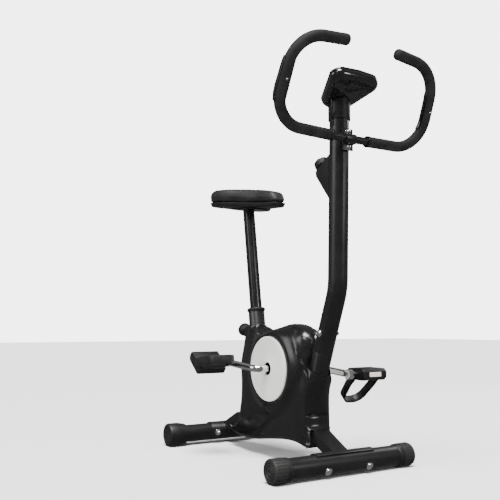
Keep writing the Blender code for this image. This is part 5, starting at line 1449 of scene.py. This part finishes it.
class BIKE_OT_saddle(bpy.types.Operator):
    """Padded vinyl saddle on a moulded pan, its cover swelled by a cloth run"""

    bl_idname = "bike.saddle"
    bl_label = "Saddle"

    def execute(self, context):
        half = flowing([(x, y) for x, y in saddle_plan(0.0035)], 3, closed=False)
        ring = [(p.x, -abs(p.y)) for p in half] + [(p.x, abs(p.y)) for p in reversed(half[1:-1])]
        self.pad(ring)
        self.pan(ring)
        return {"FINISHED"}

    def pad(self, ring):
        pad = slab("pad", ring, 0.0128, 0.0512)
        for corner in pad.data.vertices:
            if corner.co.z > 0.03:
                nose = max(corner.co.x - 0.045, 0) / 0.130
                tail = max(-corner.co.x - 0.058, 0) / 0.044
                corner.co.z -= 0.0070 * nose ** 1.4 + 0.009 * tail
                corner.co.x -= 0.020 * ease(0.120, 0.178, corner.co.x)
        round_edges(pad, 0.011, 4, 50)
        apply_modifier(pad, "REMESH", mode="VOXEL", voxel_size=0.0042, use_smooth_shade=True)
        self.swell(pad)
        apply_modifier(pad, "SMOOTH", factor=0.5, iterations=4)
        self.sew(pad)
        apply_modifier(pad, "SUBSURF", levels=1, render_levels=1)
        settle(pad, SADDLE_PLACE)
        smooth(pad, 60)
        dress(pad, "saddle_cover", "seat", finish(vinyl), "vinyl", "saddle_pad")

    def swell(self, pad):
        """Fill the cover with air for a moment, holding its underside to the pan."""
        rest = [corner.co.copy() for corner in pad.data.vertices]
        held = pad.vertex_groups.new(name="pan")
        held.add([i for i, co in enumerate(rest) if co.z < 0.0165], 1.0, "REPLACE")
        take(pad)
        cloth = pad.modifiers.new("cloth", "CLOTH")
        cloth.settings.use_pressure = True
        cloth.settings.uniform_pressure_force = sizes().pad_swell
        cloth.settings.effector_weights.gravity = 0
        cloth.settings.vertex_group_mass = "pan"
        cloth.settings.tension_stiffness = 40
        cloth.settings.bending_stiffness = 2
        cloth.collision_settings.use_collision = False
        scene = bpy.context.scene
        for step in range(1, 21):
            scene.frame_set(step)
        bpy.ops.object.modifier_apply(modifier=cloth.name)
        scene.frame_set(1)
        for corner, was in zip(pad.data.vertices, rest):
            move = corner.co - was
            if move.length > 0.004:
                corner.co = was + move.normalized() * 0.004
        pad.vertex_groups.clear()

    def sew(self, pad):
        """Seam round the side of the cover, low creases, and a soft dip down its middle."""
        for corner in pad.data.vertices:
            x, y, z = corner.co
            low = abs(z - 0.0235)
            wide = self.reach(x)
            edge = ease(0.65, 0.92, abs(y) / wide) if wide > 0 else 1
            if low < 0.0026:
                pull = 0.0011 * (1 - low / 0.0026) * edge
                corner.co.y -= math.copysign(pull, y)
            if z > 0.03:
                dip = 0.0026 * math.exp(-(y / 0.012) ** 2)
                corner.co.z -= dip * ease(0.10, 0.02, x) * ease(-0.10, -0.07, x)

    def reach(self, x):
        """Half width of the saddle at x along it."""
        plan = saddle_plan(0.0)
        for (ax, ay), (bx, by) in zip(plan, plan[1:]):
            if ax <= x <= bx and bx > ax:
                return ay + (by - ay) * (x - ax) / (bx - ax)
        return 0.03

    def pan(self, ring):
        """Moulded pan under the pad with a rolled edge, and its rivets."""
        pan = slab("pan", ring, 0.0004, 0.0126)
        for corner in pan.data.vertices:
            if corner.co.z < 0.006:
                corner.co.x = 0.004 + (corner.co.x - 0.004) * 0.955
                corner.co.y *= 0.95
        round_edges(pan, 0.0020, 3, 40)
        settle(pan, SADDLE_PLACE)
        smooth(pan, 35)
        dress(pan, "saddle_pan", "seat", finish(grained_plastic), "black_plastic", "saddle_base")
        for label, side in SIDES:
            for name, x in (("rear", -0.052), ("front", 0.020)):
                spot = SADDLE_PLACE @ Vector((x, side * (self.reach(x) * 0.95 - 0.0038), 0.0068))
                way = SADDLE_PLACE.to_3x3() @ Vector((0, side, 0))
                head = turned(
                    "rivet", [(0, -0.001), (0.0028, -0.001), (0.0028, 0.0006), (0.0018, 0.0015), (0, 0.0018)],
                    facing(spot, way), 20,
                )
                smooth(head)
                dress(head, f"saddle_rivet_{name}_{label}", "seat", finish(zinc_steel), "zinc_steel")


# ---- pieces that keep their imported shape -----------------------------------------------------
class BIKE_OT_frame(bpy.types.Operator):
    """Frame, posts and stabilisers, with the welds and the edges of the real ones"""

    bl_idname = "bike.frame"
    bl_label = "Frame"

    def execute(self, context):
        coat = finish(powder_coat)
        for node, name, body, bevel in (
            ("main_frame", "welded_frame", "root", 0.0008),
            ("front_stabiliser", "front_tube", "root", 0),
            ("rear_stabiliser", "rear_tube", "root", 0),
            ("handlebar_post", "bar_post", "root", 0),
        ):
            piece = from_frame(node, name, bevel, 2, 34)
            dress(piece, name, body, coat, "powder_coat", node)
        piece = from_frame("seat_post", "saddle_post", 0, 2, 34)
        dress(piece, "saddle_post", "seat", finish(tube_coat), "powder_coat", "seat_post")
        return {"FINISHED"}


class BIKE_OT_controls(bpy.types.Operator):
    """Sleeve, pin knob, tension knob and housing, and the console's bracket"""

    bl_idname = "bike.controls"
    bl_label = "Controls"

    def execute(self, context):
        edge = sizes().edge
        grained = finish(grained_plastic)
        for node, name, body, bevel, material, slot in (
            ("seat_tube_bush", "sleeve", "root", edge, grained, "black_plastic"),
            ("seat_pin_knob", "pin_knob", "seat_pin", edge, grained, "black_plastic"),
            ("tension_housing", "knob_housing", "root", edge, grained, "black_plastic"),
            ("tension_knob", "knob", "tension_knob", 0.0010, grained, "black_plastic"),
            ("console_bracket", "console_collar", "root", edge, grained, "black_plastic"),
        ):
            piece = from_frame(node, name, bevel, 3, 34)
            dress(piece, name, body, material, slot, node)
        return {"FINISHED"}


# The console's own frame: X up its face, Z out of it
CONSOLE_MIDDLE = Vector((0.24384, 0, 0.9294))
CONSOLE_LEAN = math.radians(24.0)
CONSOLE_NORMAL = Vector((-math.sin(CONSOLE_LEAN), 0, math.cos(CONSOLE_LEAN)))
CONSOLE_UP = Vector((math.cos(CONSOLE_LEAN), 0, math.sin(CONSOLE_LEAN)))


def console_plan(inset, lift):
    """Closed outline of the console at a height above its face's back plane."""
    top, foot = 0.0665 - inset, -0.0535 + inset
    wide, narrow = 0.0725 - inset, 0.034 - inset
    round_by = max(0.012 - inset * 0.5, 0.004)
    path = rounded_path(
        [(top + 0.0035, 0, lift), (top, wide * 0.80, lift), (top - 0.020, wide, lift),
         (foot + 0.006, narrow + 0.004, lift), (foot, narrow - 0.014, lift), (foot - 0.002, 0, lift)],
        [round_by * 2.2, round_by, round_by * 1.6, round_by * 0.8], 5,
    )
    other = [Vector((p.x, -p.y, p.z)) for p in reversed(path[1:-1])]
    return path + other


class BIKE_OT_console(bpy.types.Operator):
    """Console: rim round the face, parting groove, rounded back and its battery door"""

    bl_idname = "bike.console"
    bl_label = "Console"

    def execute(self, context):
        place = facing(CONSOLE_MIDDLE, CONSOLE_NORMAL, CONSOLE_UP)
        glossy = finish(glossy_plastic)
        rim = lofted("console_rim", [console_plan(inset, lift) for inset, lift in (
            (0.0014, 0.0003), (0.0002, 0.0010), (0, 0.0020), (0, 0.0046), (0.0008, 0.0062), (0.0022, 0.0069),
            (0.0060, 0.0070), (0.0066, 0.0064),
        )])
        settle(rim, place)
        window = (0.0412, 0.0632, 0.0042)
        cut_with(rim, cuboid(window, place @ Matrix.Translation((0.016, 0, 0.007))))
        cut_with(rim, cylinder(0.0090, 0.03, place @ Matrix.Translation((-0.034, 0, 0)), 40))
        smooth(rim, 35)
        dress(rim, "console_rim", "root", glossy, "black_plastic", "console_face")
        back = lofted("console_shell", [console_plan(inset, lift) for inset, lift in (
            (0.0016, 0.0002), (0.0014, -0.0006), (0.0003, -0.0010), (0, -0.0018), (0, -0.0065),
            (0.0006, -0.0095), (0.0022, -0.0130), (0.0052, -0.0166), (0.0100, -0.0192),
            (0.0150, -0.0206), (0.0156, -0.0200),
        )])
        settle(back, place)
        smooth(back, 35)
        dress(back, "console_shell", "root", glossy, "black_plastic", "console_back")
        door = lofted("battery_door", [
            [Vector((x * s, y * s, z)) for x, y in (
                (0.020, 0.022), (-0.012, 0.018), (-0.016, 0.010), (-0.016, -0.010), (-0.012, -0.018),
                (0.020, -0.022), (0.025, -0.016), (0.025, 0.016))]
            for s, z in ((1.0, -0.0195), (1.0, -0.0214), (0.95, -0.0222))
        ])
        round_edges(door, 0.0015, 3, 30)
        settle(door, place @ Matrix.Translation((0.020, 0, 0)))
        smooth(door, 40)
        dress(door, "battery_door", "root", glossy, "black_plastic")
        for x, y in ((0.046, 0.050), (0.046, -0.050), (-0.030, 0.026), (-0.030, -0.026)):
            hole = turned(
                "screw_well",
                [(0, 0.0004), (0.0018, 0.0004), (0.0022, 0.0010), (0.0028, 0.0010), (0.0031, 0), (0, -0.001)],
                place @ Matrix.Translation((x, y, -0.0196)) @ Matrix.Rotation(math.pi, 4, "X"), 24,
            )
            smooth(hole)
            dress(hole, f"screw_well_{'up' if x > 0 else 'low'}_{'left' if y > 0 else 'right'}", "root",
                  finish(dark_recess), "black_plastic")
        return {"FINISHED"}


class BIKE_OT_finishes(bpy.types.Operator):
    """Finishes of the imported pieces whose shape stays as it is"""

    bl_idname = "bike.finishes"
    bl_label = "Finishes"

    def execute(self, context):
        for maker, nodes in (
            (zinc_steel, ("crank_bearing_right", "crank_bearing_left", "flywheel_bearing",
                          "pedal_spindle_right", "pedal_spindle_left", "flywheel_shaft", "brake_arm",
                          "brake_magnet")),
            (turned_iron, ("flywheel",)),
            (grained_plastic, ("drive_pulley",)),
            (strap_plastic, ("drive_belt", "tension_cable", "console_lead")),
            (display_glass, ("console_screen",)),
            (key_rubber, ("mode_button",)),
        ):
            for node in nodes:
                piece = frame["nodes"][node]
                piece.data.materials.clear()
                piece.data.materials.append(finish(maker))
        return {"FINISHED"}


# ---- stage --------------------------------------------------------------------------------------
CAMERA_PLACE = (1.46504, -1.0123, 0.3427)
CAMERA_TURN, CAMERA_LIFT = math.radians(58.77), math.radians(6.82)
CAMERA_LENS = 47.05


class BIKE_OT_stage(bpy.types.Operator):
    """Pale floor, soft studio lights and the camera"""

    bl_idname = "bike.stage"
    bl_label = "Stage"

    def execute(self, context):
        self.camera()
        self.floor()
        self.world()
        for name, place, size, power in (
            ("key", (1.5, -1.7, 2.4), 0.6, 22),
            ("rim", (-0.2, 2.2, 1.9), 0.9, 14),
            ("strip", (2.4, 0.9, 1.2), 0.5, 14),
        ):
            self.light(name, Vector(place), size, power)
        for name, place, spread, power in (
            ("sky", (0.7, -0.5, 2.4), 26, 8.5),
            ("fill", (-0.4, -2.4, 1.2), 40, 1.7),
        ):
            self.sun(name, Vector(place), spread, power)
        return {"FINISHED"}

    def camera(self):
        drop_all()
        bpy.ops.object.camera_add(
            location=CAMERA_PLACE, rotation=(math.pi / 2 + CAMERA_LIFT, 0, CAMERA_TURN)
        )
        camera = bpy.context.object
        camera.name = "camera"
        camera.data.lens = CAMERA_LENS
        camera.data.sensor_width = 36
        camera.data.clip_start = 0.05
        bpy.context.scene.camera = camera

    def floor(self):
        drop_all()
        bpy.ops.mesh.primitive_plane_add(size=30)
        floor = bpy.context.object
        floor.name = "floor"
        paint = Paint("floor_paper", roughness=0.9, specular=0.1)
        paint.set("Base Color", (0.86, 0.86, 0.86))
        floor.data.materials.append(paint.material)
        floor.visible_glossy = False

    def world(self):
        """Pale backdrop to the eye, a dim room to the surfaces that mirror it."""
        world = bpy.data.worlds.new("studio")
        world.use_nodes = True
        nodes, links = world.node_tree.nodes, world.node_tree.links
        room = nodes["Background"]
        room.inputs[0].default_value = (1, 1, 1, 1)
        room.inputs[1].default_value = 0.20
        backdrop = nodes.new("ShaderNodeBackground")
        backdrop.inputs[0].default_value = (1, 1, 1, 1)
        backdrop.inputs[1].default_value = 5.0
        seen = nodes.new("ShaderNodeLightPath")
        mix = nodes.new("ShaderNodeMixShader")
        links.new(seen.outputs["Is Camera Ray"], mix.inputs[0])
        links.new(room.outputs[0], mix.inputs[1])
        links.new(backdrop.outputs[0], mix.inputs[2])
        links.new(mix.outputs[0], nodes["World Output"].inputs[0])
        bpy.context.scene.world = world

    def sun(self, name, place, spread, power):
        """Even soft light that comes from a direction."""
        drop_all()
        turn = (-place).to_track_quat("-Z", "Y").to_euler()
        bpy.ops.object.light_add(type="SUN", location=place, rotation=turn)
        lamp = bpy.context.object
        lamp.name = f"{name}_light"
        lamp.data.angle = math.radians(spread)
        lamp.data.energy = power

    def light(self, name, place, size, power):
        drop_all()
        aim = Vector((0, 0, 0.5)) - place
        turn = aim.to_track_quat("-Z", "Y").to_euler()
        bpy.ops.object.light_add(type="AREA", location=place, rotation=turn)
        lamp = bpy.context.object
        lamp.name = f"{name}_light"
        lamp.data.shape = "DISK"
        lamp.data.size = size
        lamp.data.energy = power


class BIKE_PT_pieces(bpy.types.Panel):
    """Lists the bike's pieces in the sidebar"""

    bl_idname = "BIKE_PT_pieces"
    bl_label = "Exercise Bike"
    bl_space_type = "VIEW_3D"
    bl_region_type = "UI"
    bl_category = "Exercise Bike"

    def draw(self, context):
        column = self.layout.column(align=True)
        for maker in MAKERS:
            column.operator(maker.bl_idname)
        for group in (context.scene.bike_sizes, context.scene.bike_colours):
            box = self.layout.box()
            for key in group.__annotations__:
                box.prop(group, key)


MAKERS = (
    BIKE_OT_stage, BIKE_OT_shell, BIKE_OT_shell_trim, BIKE_OT_discs, BIKE_OT_frame, BIKE_OT_crank,
    BIKE_OT_pedals, BIKE_OT_feet, BIKE_OT_bolts, BIKE_OT_handlebar, BIKE_OT_controls, BIKE_OT_console,
    BIKE_OT_saddle, BIKE_OT_finishes,
)
CLASSES = (BikeSizes, BikeColours) + MAKERS + (BIKE_PT_pieces,)


def register():
    for item in CLASSES:
        bpy.utils.register_class(item)
    bpy.types.Scene.bike_sizes = bpy.props.PointerProperty(type=BikeSizes)
    bpy.types.Scene.bike_colours = bpy.props.PointerProperty(type=BikeColours)


def unregister():
    del bpy.types.Scene.bike_colours
    del bpy.types.Scene.bike_sizes
    for item in reversed(CLASSES):
        bpy.utils.unregister_class(item)


def main():
    register()
    for maker in MAKERS:
        group, name = maker.bl_idname.split(".")
        getattr(getattr(bpy.ops, group), name)()
    drop_all()


if __name__ == "__main__":
    main()
